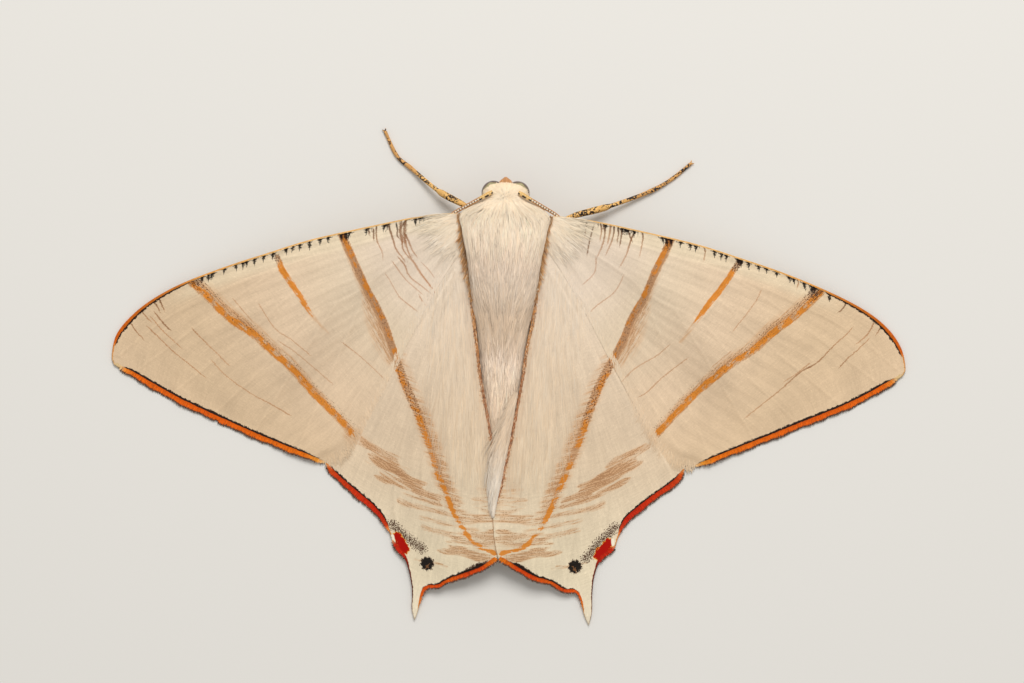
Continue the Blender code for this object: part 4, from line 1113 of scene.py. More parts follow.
def add_wings(material):
    """The four wings, each a thin closed sheet in place of its solid."""
    for name, side in SIDES.items():
        for kind, (wings, order, _, sheet) in WINGS.items():
            loop = outline_of(wings[name], order, 0.12)
            p, quads, rim = sheet_grid(loop, WING_CELL)
            z, thick, fields, strokes = sheet(name, p)
            verts, faces = two_faces(p, quads, rim, z, thick)
            attributes = {key: doubled(values) for key, values in fields.items()}
            for key, field in zip(STROKE_SETS, stroke_fields(p, strokes)):
                attributes[key] = doubled(field)
            attributes["scales"][len(p) :] *= UNDERSIDE_SHARE
            upper = flat_map(p, p)
            uv = np.concatenate([upper, upper + LOWER_FACE_MAP])
            node = kind + "_" + name
            add_piece(node + "_scales", verts, faces, side, material, attributes, uv, [node])


# The skin under the fur, front to rear: (Y, half width, low Z, high Z)
BODY_RINGS = [
    (15.3, 0.6, 2.5, 3.9), (15.0, 1.2, 2.1, 4.25), (14.4, 1.75, 2.05, 4.5), (13.7, 2.3, 2.1, 4.55),
    (13.2, 2.95, 2.1, 4.75), (12.4, 3.65, 1.95, 5.2), (11.0, 3.3, 1.9, 5.65), (9.0, 2.85, 1.9, 5.65),
    (7.0, 2.65, 1.95, 5.2), (5.6, 2.45, 2.0, 4.7), (3.0, 2.0, 1.2, 4.1), (0.0, 1.62, 1.0, 3.65),
    (-4.0, 1.17, 1.05, 2.95), (-7.2, 0.66, 1.2, 2.35), (-7.7, 0.3, 1.5, 2.1),
]
SPINE_ROWS = [(y, half, (low + high) / 2, (high - low) / 2) for y, half, low, high in BODY_RINGS[::-1]]
# A hair's places along its length, the shares of its width at all but the tip, and a fine one's width
HAIR_STEPS, HAIR_WIDTHS = (0.0, 0.35, 0.72, 1.0), (0.75, 1.0, 0.7)
FINE_HAIR = (0.04, 0.065)
HAIR_TURNS = (90.0, 210.0, 330.0)
HAIR_ROUNDNESS = 0.35
# How dark the skin under the fur is against the fur: painted shade under the hairs
SKIN_SHADE = 0.72
WING_HAIR_FLAT = 0.35
HEAD_HAIRS, BASE_HAIRS, HIND_HAIRS, FOLD_HAIRS, FACE_HAIRS = 2600, 2600, 2400, 2200, 900
HAIR_PATCH = np.array([(0.0003 + 0.001 * (k % 3), 0.001 * (k // 3)) for k in range(9)] + [(0.0015, 0.003)])


def finish_piece(name, material, stands_for=()):
    """Names the active object, gives it its finish and lets it ride on the moth."""
    obj = bpy.context.active_object
    bpy.ops.object.transform_apply(location=True, rotation=True, scale=True)
    bpy.ops.object.mode_set(mode="EDIT")
    bpy.ops.mesh.select_all(action="SELECT")
    bpy.ops.mesh.normals_make_consistent(inside=False)
    bpy.ops.object.mode_set(mode="OBJECT")
    bpy.ops.object.shade_smooth()
    obj.name = obj.data.name = name
    return dress(obj, material, stands_for)


def add_body_skin(material):
    """One closed skin for head, thorax and abdomen: a ring drawn out from the face to the tail."""
    bpy.ops.object.select_all(action="DESELECT")
    y, half, low, high = BODY_RINGS[0]
    bpy.ops.mesh.primitive_circle_add(
        vertices=20, radius=half * MM, fill_type="NGON", rotation=(math.pi / 2, 0, 0),
        location=place_on((0, y, (low + high) / 2)),
    )
    bpy.ops.object.mode_set(mode="EDIT")
    bpy.ops.mesh.select_all(action="SELECT")
    centre = place_on((0, y, (low + high) / 2))
    bpy.ops.transform.resize(value=(1, 1, (high - low) / 2 / half), center_override=centre)
    for (y, half, low, high), (y2, half2, low2, high2) in zip(BODY_RINGS, BODY_RINGS[1:]):
        rise_by = (low2 + high2 - low - high) / 2
        bpy.ops.mesh.extrude_region_move(TRANSFORM_OT_translate={"value": (0, (y2 - y) * MM, rise_by * MM)})
        bpy.ops.transform.resize(
            value=(half2 / half, 1, (high2 - low2) / (high - low)),
            center_override=place_on((0, y2, (low2 + high2) / 2)),
        )
    bpy.ops.object.mode_set(mode="OBJECT")
    obj = bpy.context.active_object
    smooth = obj.modifiers.new("smooth", "SUBSURF")
    smooth.levels = smooth.render_levels = 2
    bpy.ops.object.modifier_apply(modifier="smooth")
    finish_piece("body_skin", material, ["head", "thorax", "abdomen"])
    p = points_of(obj, 1)
    rows = between(SPINE_ROWS, p[:, 1])
    turn = np.arctan2(p[:, 2] - rows[:, 1], p[:, 0])
    # The skin's tint, with the painted shade of the flanks, darkened by SKIN_SHADE as painted shade under the fur
    set_attribute(obj.data, "tint", body_tint(p[:, 1], turn) * SKIN_SHADE)
    set_uv(obj.data, body_uv(p[:, 1], turn))


def body_uv(y, turn):
    return columns((turn / math.pi + 1) * 0.47 + 0.03, (y + 13.0) / 29.0 * 0.94 + 0.03)


BODY_TINTS = [
    (-12.0, *lin(222, 200, 172)), (-7.0, *lin(226, 202, 172)), (-3.0, *lin(226, 200, 172)),
    (0.0, *lin(232, 208, 182)), (2.0, *lin(236, 212, 188)), (4.6, *lin(222, 196, 168)),
    (6.6, *lin(222, 197, 170)), (9.0, *lin(234, 212, 188)), (10.6, *lin(238, 214, 189)),
    (12.0, *lin(242, 221, 194)), (13.6, *lin(243, 222, 193)), (14.5, *lin(240, 218, 186)),
    (15.4, *lin(236, 212, 178)),
]


def body_tint(y, turn):
    """Cream fur, with painted shade making it greyer and darker low on the flanks."""
    tint = between(BODY_TINTS, y)
    # under: painted shade, from the middle of the flanks down to the underside
    under = rise(-np.sin(turn), -0.35, 0.6)
    return mixed(tint, lin(206, 184, 160), 0.6 * under)


def body_point(y, turn, above):
    """A place over the skin, its height measured away from it."""
    half, centre, high = between(SPINE_ROWS, y).T
    return columns((half + above) * np.cos(turn), y, centre + (high + above) * np.sin(turn))


def hair_mesh(lines, width, tints, flat, ups):
    """Closed tapered hairs along centre lines of four points: corner points, faces, tints and normals."""
    count = len(lines)
    step = np.stack([lines[:, 1] - lines[:, 0], lines[:, 2] - lines[:, 0], lines[:, 3] - lines[:, 1]], 1)
    step = unit(step, 1e-9)
    across = unit(np.cross(step, ups[:, :3]), 1e-9)
    up = np.cross(across, step)
    verts = np.empty((count, 10, 3))
    colours, normals = np.empty((count, 10, 3)), np.empty((count, 10, 3))
    for ring, share in enumerate(HAIR_WIDTHS):
        for corner, turn in enumerate(HAIR_TURNS):
            c, s = math.cos(math.radians(turn)), math.sin(math.radians(turn))
            size = (width * share / 2)[:, None]
            k = ring * 3 + corner
            verts[:, k] = lines[:, ring] + size * (c * across[:, ring] + s * flat * up[:, ring])
            normals[:, k] = ups[:, ring] + HAIR_ROUNDNESS * (c * across[:, ring] + s * up[:, ring])
            colours[:, k] = tints[:, ring]
    verts[:, 9], colours[:, 9], normals[:, 9] = lines[:, 3], tints[:, 3], ups[:, 3]
    quads, ends = [], [(0, 1, 2)]
    for ring in (0, 3):
        quads += [(ring + k, ring + 3 + k, ring + 3 + (k + 1) % 3, ring + (k + 1) % 3) for k in range(3)]
    ends += [(6 + k, 9, 6 + (k + 1) % 3) for k in range(3)]
    start = (np.arange(count) * 10)[:, None, None]
    normals = unit(normals)
    return (
        verts.reshape(-1, 3),
        [(np.array(quads) + start).reshape(-1, 4), (np.array(ends) + start).reshape(-1, 3)],
        colours.reshape(-1, 3), normals.reshape(-1, 3),
    )


def add_hairs(name, lines, width, tints, root_uv, side, material, flat=0.6, ups=None):
    """One piece of hairs; each hair's patch of the map lies at its root's place."""
    if ups is None:
        ups = np.broadcast_to((0.0, 0.0, 1.0), (len(lines), 4, 3))
    verts, faces, colours, normals = hair_mesh(lines, width, tints, flat, ups)
    uv = (root_uv[:, None] + HAIR_PATCH[None]).reshape(-1, 2)
    obj = add_piece(name, verts, faces, side, material, {"tint": colours}, uv)
    obj.data.normals_split_custom_set_from_vertices((normals * (side, 1, 1)).astype(np.float32))
    return obj


def drawn_out(root, way, length, bend=0.0):
    """Hairs drawn out from their roots along a way, a little bent."""
    return np.stack([root + way * (length * t)[:, None] + bend * t * t for t in HAIR_STEPS], 1)


def one_tint(tint, count):
    return np.tile(tint, (count, 1))


def strand_tints(base, rng, root=0.8, tip=1.05, spread=0.07):
    """Tints along each hair: its own brightness, darker at the root and lighter at the tip."""
    own = 1 + rng.normal(0, spread, len(base))
    warm = rng.normal(0, 0.02, len(base))
    hue = base * columns(own, own * (1 - warm), own * (1 - 2.2 * warm))
    steps = np.array([root, (root + 1) / 2 + 0.03, 1.0, tip])
    return np.clip(hue[:, None] * steps[None, :, None], 0, 1)


# Coats of the body: (name, front Y, rear Y, hairs per mm2, length, height at the tip, width)
COATS = [
    ("abdomen_fur", 4.9, -7.6, 95, 2.6, 0.24, 0.07),
    ("thorax_fur", 12.2, 3.4, 100, 3.3, 0.3, 0.07),
    ("collar_fur", 14.0, 11.6, 130, 1.7, 0.22, 0.07),
]
GAINS = [(-8.0, 1.27), (-3.0, 1.27), (2.0, 1.12), (6.0, 1.01), (10.0, 1.0), (12.0, 1.14), (16.0, 1.14)]
CROWN_Y = 14.05
# How far the head's fur reaches over face and eyes: (Y, half width)
HEAD_FUR_EDGE = [
    (13.2, 1.7), (13.9, 1.95), (14.4, 1.95), (14.71, 1.8), (14.9, 1.55), (15.08, 1.2), (15.21, 0.74),
    (15.27, 0.3), (15.29, 0.0),
]


def lie_of(y, x):
    """The way the fur lies: how far it turns from straight back towards the midline, in radians."""
    v_shape = 0.34 * band(y, 2.2, 9.0, 1.3) + 0.12 * band(y, -7.0, 2.2, 1.0)
    splay = 0.75 * rise(y, 10.6, 12.6)
    return (v_shape - splay) * np.clip(x / 2.4, -1, 1)


def body_up(y, turn):
    half, _, high = between(SPINE_ROWS, y).T
    up = columns(0.55 * np.cos(turn) / half, np.zeros(len(y)), np.sin(turn) / high + 0.12)
    return unit(up)


def add_body_fur(material):
    """Coats of overlapping hairs that follow the body's shape, from the tail forward."""
    rng = np.random.default_rng(11)
    for name, front, rear, density, length, height, width in COATS:
        rows = between(SPINE_ROWS, np.linspace(rear, front, 40))
        area = np.mean(math.pi * (rows[:, 0] + rows[:, 2])) * (front - rear)
        count = int(area * density)
        y = rng.uniform(rear, front, count)
        turn = rng.uniform(-math.pi, math.pi, count)
        keep = (np.sin(turn) > -0.35) | (rng.uniform(size=count) < 0.4)
        keep &= rng.uniform(size=count) < between(SPINE_ROWS, y)[:, 0] / rows[:, 0].max()
        y, turn = y[keep], turn[keep]
        count = len(y)
        clump = ripples(columns(turn * 3.0, y * 0.45), 12, 1.2)
        own = length * rng.uniform(0.6, 1.25, count) * (1 - 0.35 * (np.sin(turn) < -0.2))
        lean = rng.normal(0, 0.06, count) + 0.1 * clump
        top = height * rng.uniform(0.3, 1.0, count) * (1 + 0.15 * clump)
        at_y, at_turn = y.copy(), turn.copy()
        points, ups = [body_point(at_y, at_turn, np.full(count, -0.06))], [body_up(y, turn)]
        for before, share in zip(HAIR_STEPS, HAIR_STEPS[1:]):
            step = own * (share - before)
            half, _, high = between(SPINE_ROWS, at_y).T
            turning = lie_of(at_y, half * np.cos(at_turn)) + lean
            round_by = np.hypot(half * np.sin(at_turn), high * np.cos(at_turn)) + 0.3
            at_y = at_y - step * np.cos(turning)
            at_turn = at_turn + step * np.sin(turning) / round_by
            points.append(body_point(at_y, at_turn, top * math.sin(share * 2.0)))
            ups.append(body_up(at_y, at_turn))
        base = body_tint(y, turn)
        strand = ripples(columns(turn * 6.0, y * 0.5), 13, 1.5)
        base = tinted(base, np.minimum(table(GAINS, y), 0.96 / base.max(1)) * (1 + 0.035 * strand))
        tints = strand_tints(base, rng, 0.95, 1.03, 0.045)
        add_hairs(name, np.stack(points, 1), width * rng.uniform(0.7, 1.2, count), tints,
                  body_uv(y, turn), 1, material, 0.6, np.stack(ups, 1))


def head_top(p):
    """The height of head and eyes together, as the fur lies over them."""
    half, centre, high = between(SPINE_ROWS, p[:, 1]).T
    skull = centre + high * np.sqrt(np.clip(1 - (p[:, 0] / half) ** 2, 0, 1))
    eye = (((np.abs(p[:, 0]) - EYE_CENTRE[0]) / EYE_SIZE[0]) ** 2
           + ((p[:, 1] - EYE_CENTRE[1]) / EYE_SIZE[1]) ** 2)
    eye = EYE_CENTRE[2] + EYE_SIZE[2] * np.sqrt(np.clip(1 - eye, 0, 1)) * (eye < 1)
    return np.logaddexp(skull * 12, eye * 12) / 12


def add_head_fur(material):
    """Short fur spreading from the crown over the forehead and the upper side of the eyes."""
    rng = np.random.default_rng(18)
    count = HEAD_HAIRS
    root = columns(rng.uniform(-2.0, 2.0, count), rng.uniform(13.2, 15.3, count))
    limit = np.array(HEAD_FUR_EDGE)
    root = root[np.abs(root[:, 0]) < np.interp(root[:, 1], *limit.T) - 0.02]
    count = len(root)
    away = np.arctan2(root[:, 0], root[:, 1] - CROWN_Y)
    from_crown = np.hypot(root[:, 0], root[:, 1] - CROWN_Y)
    away += rng.normal(0, 0.12, count) + rng.normal(0, 1.2, count) * bell(from_crown, 0.5)
    way = columns(np.sin(away), np.cos(away))
    own = rng.uniform(0.45, 0.85, count)
    room = np.ones(count)
    for share in np.linspace(0.1, 1, 10):
        at = root + way * (own * share)[:, None]
        past = np.abs(at[:, 0]) > np.interp(at[:, 1], *limit.T, right=-1.0)
        room = np.where(past & (at[:, 1] > 13.6), np.minimum(room, share - 0.1), room)
    own = np.maximum(own * room, 0.06) + rng.uniform(0, 0.06, count)
    lift = rng.uniform(0.02, 0.1, count)
    points, ups = [], []
    for t, over in zip(HAIR_STEPS, (-0.03, 0.8, 1.0, 0.5)):
        at = root + way * (own * t)[:, None]
        points.append(columns(at, head_top(at) + lift * over))
        slope = [(head_top(at + step) - head_top(at - step)) / 0.1 for step in ((0.05, 0.0), (0.0, 0.05))]
        up = columns(-slope[0], -slope[1], np.ones(count))
        ups.append(unit(up))
    tint = body_tint(root[:, 1], np.full(count, 1.5))
    tint = tinted(tint, 0.93 / tint.max(1))
    uv = columns(0.5 + root[:, 0] * 0.1, 0.7 + (root[:, 1] - 13.0) * 0.1)
    add_hairs("head_fur", np.stack(points, 1), rng.uniform(0.055, 0.085, count),
              strand_tints(tint, rng, 0.98, 1.02, 0.035), uv, 1, material, 0.5, np.stack(ups, 1))


def edge_frames(curve, step, start=0.0, end=1.0, seed=0):
    """Places along a wing edge with the way along it and the way inwards; the wing lies to the right."""
    line = spaced(curve, 0.08)
    run = run_of(line)
    at = np.arange(start * run[-1], end * run[-1], step)
    at = np.clip(at + np.random.default_rng(seed).uniform(-step, step, len(at)), 0, run[-1])
    flow = unit(np.gradient(line, run, axis=0))
    place = np.column_stack([np.interp(at, run, line[:, k]) for k in (0, 1)])
    along = unit(np.column_stack([np.interp(at, run, flow[:, k]) for k in (0, 1)]))
    return place, along, columns(along[:, 1], -along[:, 0]), at / run[-1]


def top_of(form, name, p):
    z, thick, _ = form(name, p)
    return z + thick


def flat_lines(points, form, name, lift):
    """Hair centre lines in space: four flat places each, laid on a wing's upper face and lifted."""
    count, steps = points.shape[:2]
    z = top_of(form, name, points.reshape(-1, 2)).reshape(count, steps)
    return np.concatenate([points, (z + lift)[..., None]], axis=2)


# Fringes: (wing, edge, rows of colour and width, from share, to share)
FRINGES = [
    ("forewing", "termen", TERMEN_ROWS, 0.03, 0.99), ("hindwing", "termen", HIND_TERMEN_ROWS, 0.0, 0.66),
    ("hindwing", "tail", TAIL_ROWS, 0.16, 1.0),
]


def fringe_lines(name, kind, edge, rows, start, end, layer):
    """Flat hair scales across the coloured rim of a wing, out past its edge; the last layer is dark."""
    wings, _, form, _ = WINGS[kind]
    place, along, inward, _ = edge_frames(wings[name][edge], (0.04, 0.04, 0.03)[layer], start, end, 50 + layer)
    rng = np.random.default_rng(60 + layer)
    _, rim, _, tip, tint = margin_rows(place, wings[name][edge], rows)
    keep = rim > 0.13
    if layer == 2:
        keep &= rng.uniform(size=len(rim)) < tip
    if name == "left" and kind == "forewing":
        keep &= np.abs(place[:, 0] - 24.4) > 0.16
    place, along, inward = place[keep], along[keep], inward[keep]
    rim, tip, tint, count = rim[keep], tip[keep], tint[keep], keep.sum()
    scallop = 0.05 * np.sin(place[:, 0] * 2.1 + 1.3) + 0.03 * np.sin(place[:, 0] * 5.3)
    lean = rng.normal(0, 0.16, count)
    begin = rng.uniform(0.55, 0.95, count) if layer < 2 else rng.uniform(0.1, 0.35, count)
    root = place + inward * (rim * begin)[:, None]
    past = (0.06, 0.02, 0.17)[layer] + scallop + rng.uniform(-0.04, 0.05, count)
    end_at = place - inward * past[:, None] + along * (lean * 0.3)[:, None]
    points = np.stack([root, root * 0.62 + end_at * 0.38, root * 0.3 + end_at * 0.7, end_at], 1)
    past_at = np.maximum(-((points - place[:, None]) * inward[:, None]).sum(2), 0.0)
    held = points + inward[:, None] * (past_at + 0.04)[..., None]
    z = top_of(form, name, held.reshape(-1, 2)).reshape(count, 4)
    z = z + (0.0, 0.02, 0.02, -0.02) + rng.uniform(0, 0.02, count)[:, None] - 0.015 * (layer == 2)
    lines = np.concatenate([points, np.maximum(z, 0.04)[..., None]], 2)
    if layer == 2:
        tint = one_tint(HAIR_TIP, count)
    return lines, rng.uniform(0.05, 0.085, count), strand_tints(tint, rng, 0.9, 1.0, 0.16), root


def add_wing_piece(piece, name, side, kind, made, material):
    """One piece of a wing's hairs, from several sets of centre lines, widths, tints and roots."""
    lines, width, tints, root = [np.concatenate(part) for part in zip(*made)]
    wings, order, _, _ = WINGS[kind]
    uv = flat_map(root, outline_of(wings[name], order, 1.0))
    add_hairs(piece, lines, width, tints, uv, side, material, WING_HAIR_FLAT)


def add_fringes(material):
    for name, side in SIDES.items():
        for kind in WINGS:
            made = [
                fringe_lines(name, kind, *fringe, layer)
                for wing, *fringe in FRINGES if wing == kind for layer in (0, 1, 2)
            ]
            add_wing_piece(kind + "_" + name + "_fringe", name, side, kind, made, material)


# Hairs of a forewing's rear edge against the share along it: their length, and their turn back in radians
INNER_HAIR_LENGTH = [(0.0, 0.9), (0.06, 1.1), (0.2, 1.0), (0.5, 0.9), (0.75, 0.8), (0.88, 0.4)]
INNER_HAIR_TURN = [(0.0, 0.1), (0.12, 0.5), (0.3, 0.9), (1.0, 1.3)]


def inner_hair_lines(name, layer):
    """Soft pale hairs from the forewing's rear edge, laid over the hindwing."""
    wing = FOREWING[name]
    place, along, inward, share = edge_frames(wing["inner"], 0.03, 0.0, 0.88, 70 + layer)
    rng = np.random.default_rng(80 + layer)
    count = len(place)
    length = table(INNER_HAIR_LENGTH, share) * rng.uniform(0.5, 1.2, count)
    back = table(INNER_HAIR_TURN, share) + rng.normal(0, 0.15, count)
    way = -inward * np.cos(back)[:, None] - along * np.sin(back)[:, None]
    root = place + inward * (0.1 + 0.3 * rng.uniform(0, 1, count) + 0.3 * layer)[:, None]
    bend = rng.normal(0, 0.1, count)[:, None] * columns(-way[:, 1], way[:, 0])
    points = drawn_out(root, way, length, bend)
    outer = (points - place[:, None]) * inward[:, None]
    past = np.maximum(-outer.sum(2), 0.0)
    fore = top_of(forewing_form, name, (points + inward[:, None] * (past + 0.05)[..., None]).reshape(-1, 2))
    hind = top_of(hindwing_form, name, points.reshape(-1, 2))
    fore, hind = fore.reshape(count, 4), hind.reshape(count, 4)
    sink = rise(past, -0.1, 0.75)
    z = fore * (1 - sink) + np.minimum(hind, fore) * sink + np.array([-0.03, 0.015, 0.02, -0.01])
    _, _, fields, _ = forewing_sheet(name, root)
    tint = fields["ground_tint"] * 1.0
    dusk = bell(np.hypot(*(root - DUSK).T), 0.8)
    tint = mixed(tint, lin(196, 152, 108), 0.55 * dusk)
    own = strand_tints(tint, rng, 1.0, 1.0, 0.05)
    return np.concatenate([points, z[..., None]], 2), rng.uniform(*FINE_HAIR, count), own, root


def base_hair_lines(name):
    """Long hairs flowing out and back over the forewing's base."""
    rng = np.random.default_rng(90)
    centre = np.array([2.2, 12.8])
    count = BASE_HAIRS
    reach = 0.9 + 3.6 * rng.uniform(0, 1, count) ** 1.2
    turn = np.radians(rng.uniform(-82, -4, count))
    root = centre + columns(np.cos(turn), np.sin(turn)) * reach[:, None]
    loop = outline_of(FOREWING[name], FORE_ORDER, 0.5)
    keep = inside(root, loop) & (rng.uniform(size=count) > 0.9 * rise(reach, 1.8, 4.6))
    root, turn, reach = root[keep], turn[keep], reach[keep]
    count = len(root)
    wave = 0.22 * ripples(root, 91, 2.5)
    way = turn + wave + rng.normal(0, 0.08, count)
    curl = -0.22 - 0.1 * rng.uniform(0, 1, count)
    length = 1.9 * rng.uniform(0.6, 1.2, count)
    points = [root]
    for t in (0.35, 0.37, 0.28):
        points.append(points[-1] + (length * t)[:, None] * columns(np.cos(way), np.sin(way)))
        way = way + curl * t
    points = np.stack(points, 1)
    keep = inside(points[:, 3], loop)
    points, root, length = points[keep], root[keep], length[keep]
    lift = rng.uniform(0.01, 0.06, len(root))[:, None] * np.array([0.0, 0.9, 1.0, 0.2])
    lift = lift + (-0.02, 0.005, 0.0, -0.015)
    lines = flat_lines(points, forewing_form, name, lift)
    _, _, fields, _ = forewing_sheet(name, root)
    tint = mixed(fields["ground_tint"] * 1.03, lin(240, 221, 196), 0.7 * (1 - rise(root[:, 0], 3.0, 6.5)))
    tint = tinted(tint, 1 + 0.05 * ripples(root * (1.0, 0.6), 92, 0.9))
    return lines, rng.uniform(*FINE_HAIR, len(root)), strand_tints(tint, rng, 0.99, 1.0, 0.04), root


def hind_hair_lines(name):
    """Long silky hairs along the inner part of a hindwing."""
    rng = np.random.default_rng(95)
    count = HIND_HAIRS
    y = rng.uniform(-9.0, 8.5, count)
    inner = spaced(HINDWING[name]["inner"], 0.3)
    margin = np.interp(y, inner[:, 1], inner[:, 0])
    am = spaced(AM_BAND[name], 0.4)
    room = np.clip(np.interp(-y, -am[:, 1], am[:, 0]) - 0.5 - margin, 0.3, 5.0)
    x = margin + 0.2 + room * rng.uniform(0, 1, count) ** 1.2
    root = columns(x, y)
    loop = outline_of(HINDWING[name], HIND_ORDER, 0.5)
    keep = inside(root, loop) & (rng.uniform(size=count) < 1 - rise((x - margin) / room, 0.5, 1.05))
    root = root[keep]
    count = len(root)
    way = np.arctan2(root[:, 0] - 3.3, 26.0 - root[:, 1]) * 1.1 + 0.05 * ripples(root, 96, 3.0)
    way = way + rng.normal(0, 0.035, count) - 0.1 * rise(root[:, 1], 0, 8)
    length = 2.6 * rng.uniform(0.6, 1.3, count)
    points = drawn_out(root, columns(np.sin(way), -np.cos(way)), length)
    keep = inside(points[:, 3], loop)
    points, root = points[keep], root[keep]
    lift = rng.uniform(0.0, 0.03, len(root))[:, None] * np.array([0.0, 0.9, 1.0, 0.4])
    lift = lift + (-0.02, 0.002, 0.002, -0.015)
    _, _, fields, _ = hindwing_sheet(name, points[:, 2])
    tint = tinted(fields["ground_tint"], 1.03 + 0.04 * ripples(root * (1.0, 0.25), 97, 0.6))
    brown = np.clip(fields["scales"][:, :1], 0, 1)
    tint = tint * (1 - 0.4 * brown) + BROWN * 0.4 * brown
    return (flat_lines(points, hindwing_form, name, lift), rng.uniform(*FINE_HAIR, len(root)),
            strand_tints(tint, rng, 0.99, 1.0, 0.028), root)


# Hairs along a hindwing's inner edge: where they begin, and their width and colour along it
MARGIN_HAIR_START = {"right": 0.2, "left": 0.37}
MARGIN_HAIR_WIDTH = [(0.2, 0.12), (0.5, 0.18), (1.0, 0.26)]
MARGIN_HAIR_TINTS = [
    (0.0, *lin(186, 124, 80)), (0.6, *lin(176, 112, 70)), (0.85, *lin(200, 138, 80)), (1.0, *lin(206, 142, 80)),
]


def margin_hair_lines(name):
    """The orange-brown line of short hairs along the hindwing's inner edge, down to the tail end."""
    place, along, inward, share = edge_frames(HINDWING[name]["inner"], 0.016, MARGIN_HAIR_START[name], 1.0, 98)
    rng = np.random.default_rng(99)
    count = len(place)
    wide = table(MARGIN_HAIR_WIDTH, share)
    root = place + inward * (wide * rng.uniform(-0.1, 1.0, count))[:, None]
    back = rng.normal(0.25, 0.3, count)
    way = -along * np.cos(back)[:, None] + inward * (np.sin(back) * 0.6)[:, None]
    length = rng.uniform(0.12, 0.32, count)
    points = drawn_out(root, way, length)
    lines = flat_lines(points, hindwing_form, name, np.array([-0.01, 0.05, 0.05, 0.02]))
    tint = between(MARGIN_HAIR_TINTS, share)
    grain = rng.uniform(size=count)
    tint = np.where((grain < 0.24)[:, None], lin(120, 80, 58), tint)
    tint = np.where((grain > 0.8)[:, None], lin(224, 186, 148), tint)
    return lines, rng.uniform(*FINE_HAIR, count), strand_tints(tint, rng, 0.9, 1.05, 0.14), root


# The pale fold of the right hindwing's inner edge over the left one: (Y, left X, right X)
FOLD_ROWS = [
    (-13.3, -0.42, -0.4), (-12.7, -0.5, -0.32), (-11.5, -0.56, -0.1), (-10.5, -0.58, 0.1), (-9.0, -0.56, 0.36),
    (-7.5, -0.46, 0.66), (-6.0, -0.05, 0.9), (-4.0, 0.6, 1.2), (-2.5, 1.15, 1.45),
]


def fold_hair_lines():
    """Silky pale hairs of the fold, lying along it as a soft ridge."""
    rng = np.random.default_rng(103)
    count = FOLD_HAIRS
    y = -12.6 + 10.2 * rng.uniform(0, 1, count) ** 1.15
    share = np.minimum(rng.normal(0.4, 0.36, count), rng.uniform(0.8, 1.0, count))
    length = np.minimum(rng.uniform(0.8, 1.7, count), (y + 13.2) * rng.uniform(0.7, 1.0, count))
    points = []
    for t in HAIR_STEPS:
        at = y - length * t
        left, right = between(FOLD_ROWS, at).T
        points.append(columns(left + (right - left) * share - 0.12 * t * length * (1.2 - share), at))
    points = np.stack(points, 1)
    ridge = 0.12 * np.sin(math.pi * np.clip(share, 0, 1))[:, None] + rng.uniform(-0.02, 0.1, count)[:, None]
    z = top_of(hindwing_form, "right", points.reshape(-1, 2)).reshape(count, 4) + ridge * (0.8, 1.0, 1.0, 0.5)
    tint = mixed(one_tint(lin(228, 202, 173), count), lin(230, 214, 194), rise(-y, 5.5, 10.0))
    # Painted shade: the hairs darken towards both sides of the ridge of the fold
    flank = rise(np.abs(share - 0.45), 0.2, 0.55)
    tint = tinted(tint, 1 - 0.12 * flank + 0.05 * ripples(points[:, 0] * (4.0, 0.4), 104, 1.0))
    return (np.concatenate([points, z[..., None]], 2), rng.uniform(*FINE_HAIR, count),
            strand_tints(tint, rng, 0.97, 1.0, 0.06), points[:, 0])


# The orange-brown tufts where the wings leave the thorax, from the shoulder back
TUFT_LINE = {
    "right": [(4.05, 12.5), (3.45, 11.1), (3.15, 9.2), (2.95, 6.8), (2.75, 5.2)],
    "left": [(4.05, 12.6), (3.65, 11.4), (3.35, 9.3), (2.95, 6.7), (2.75, 5.2)],
}
# Along that line, how far the tufts reach out and how far they lean back, in radians
TUFT_WIDTH = [(0.0, 0.15), (0.1, 0.38), (0.25, 0.62), (0.55, 0.66), (0.75, 0.4), (1.0, 0.12)]
TUFT_LEAN = [(0.0, 0.5), (0.3, 0.85), (1.0, 1.15)]


def wing_root_tufts(name):
    """Notched orange-brown tufts lying out and back over the wing's root."""
    place, along, inward, share = edge_frames(TUFT_LINE[name], 0.0065, 0.0, 1.0, 101)
    rng = np.random.default_rng(102)
    count = len(place)
    run = share * 7.4
    tooth = np.mod(run + 0.12 * np.sin(run * 2.3), 0.62) / 0.62
    wide = table(TUFT_WIDTH, share)
    outward = np.where(inward[:, :1] < 0, -inward, inward)
    length = wide * (0.35 + 0.85 * tooth) * rng.uniform(0.6, 1.25, count)
    lean = table(TUFT_LEAN, share) + rng.normal(0, 0.12, count)
    way = outward * np.cos(lean)[:, None] + along * np.sin(lean)[:, None]
    root = place - outward * rng.uniform(-0.05, 0.25, count)[:, None]
    points = drawn_out(root, way, length * 1.25)
    wing_top = np.maximum(top_of(forewing_form, name, points.reshape(-1, 2)),
                          top_of(hindwing_form, name, points.reshape(-1, 2))).reshape(count, 4)
    z = wing_top + (0.42, 0.36, 0.24, 0.1) + rng.uniform(-0.12, 0.08, count)[:, None]
    tint = one_tint(lin(222, 166, 108), count)
    dark = rise(rng.uniform(size=count), 0.6, 1.0)
    tint = mixed(tint, lin(168, 104, 58), dark)
    tint = mixed(tint, lin(240, 214, 182), rise(rng.uniform(size=count), 0.75, 0.95))
    own = strand_tints(tint, rng, 0.42, 1.1, 0.12)
    own[:, 3] = mixed(own[:, 3], lin(240, 212, 176), np.full(count, 0.6))
    return np.concatenate([points, z[..., None]], 2), rng.uniform(0.035, 0.06, count), own, root


def add_wing_hairs(material):
    for name, side in SIDES.items():
        fore = [inner_hair_lines(name, 0), inner_hair_lines(name, 1), base_hair_lines(name)]
        hind = [hind_hair_lines(name), margin_hair_lines(name)] + ([fold_hair_lines()] if side > 0 else [])
        tufts = [wing_root_tufts(name)]
        for part, kind, made in (("forewing", "forewing", fore), ("hindwing", "hindwing", hind),
                                 ("root", "forewing", tufts)):
            add_wing_piece(part + "_" + name + "_hair", name, side, kind, made, material)


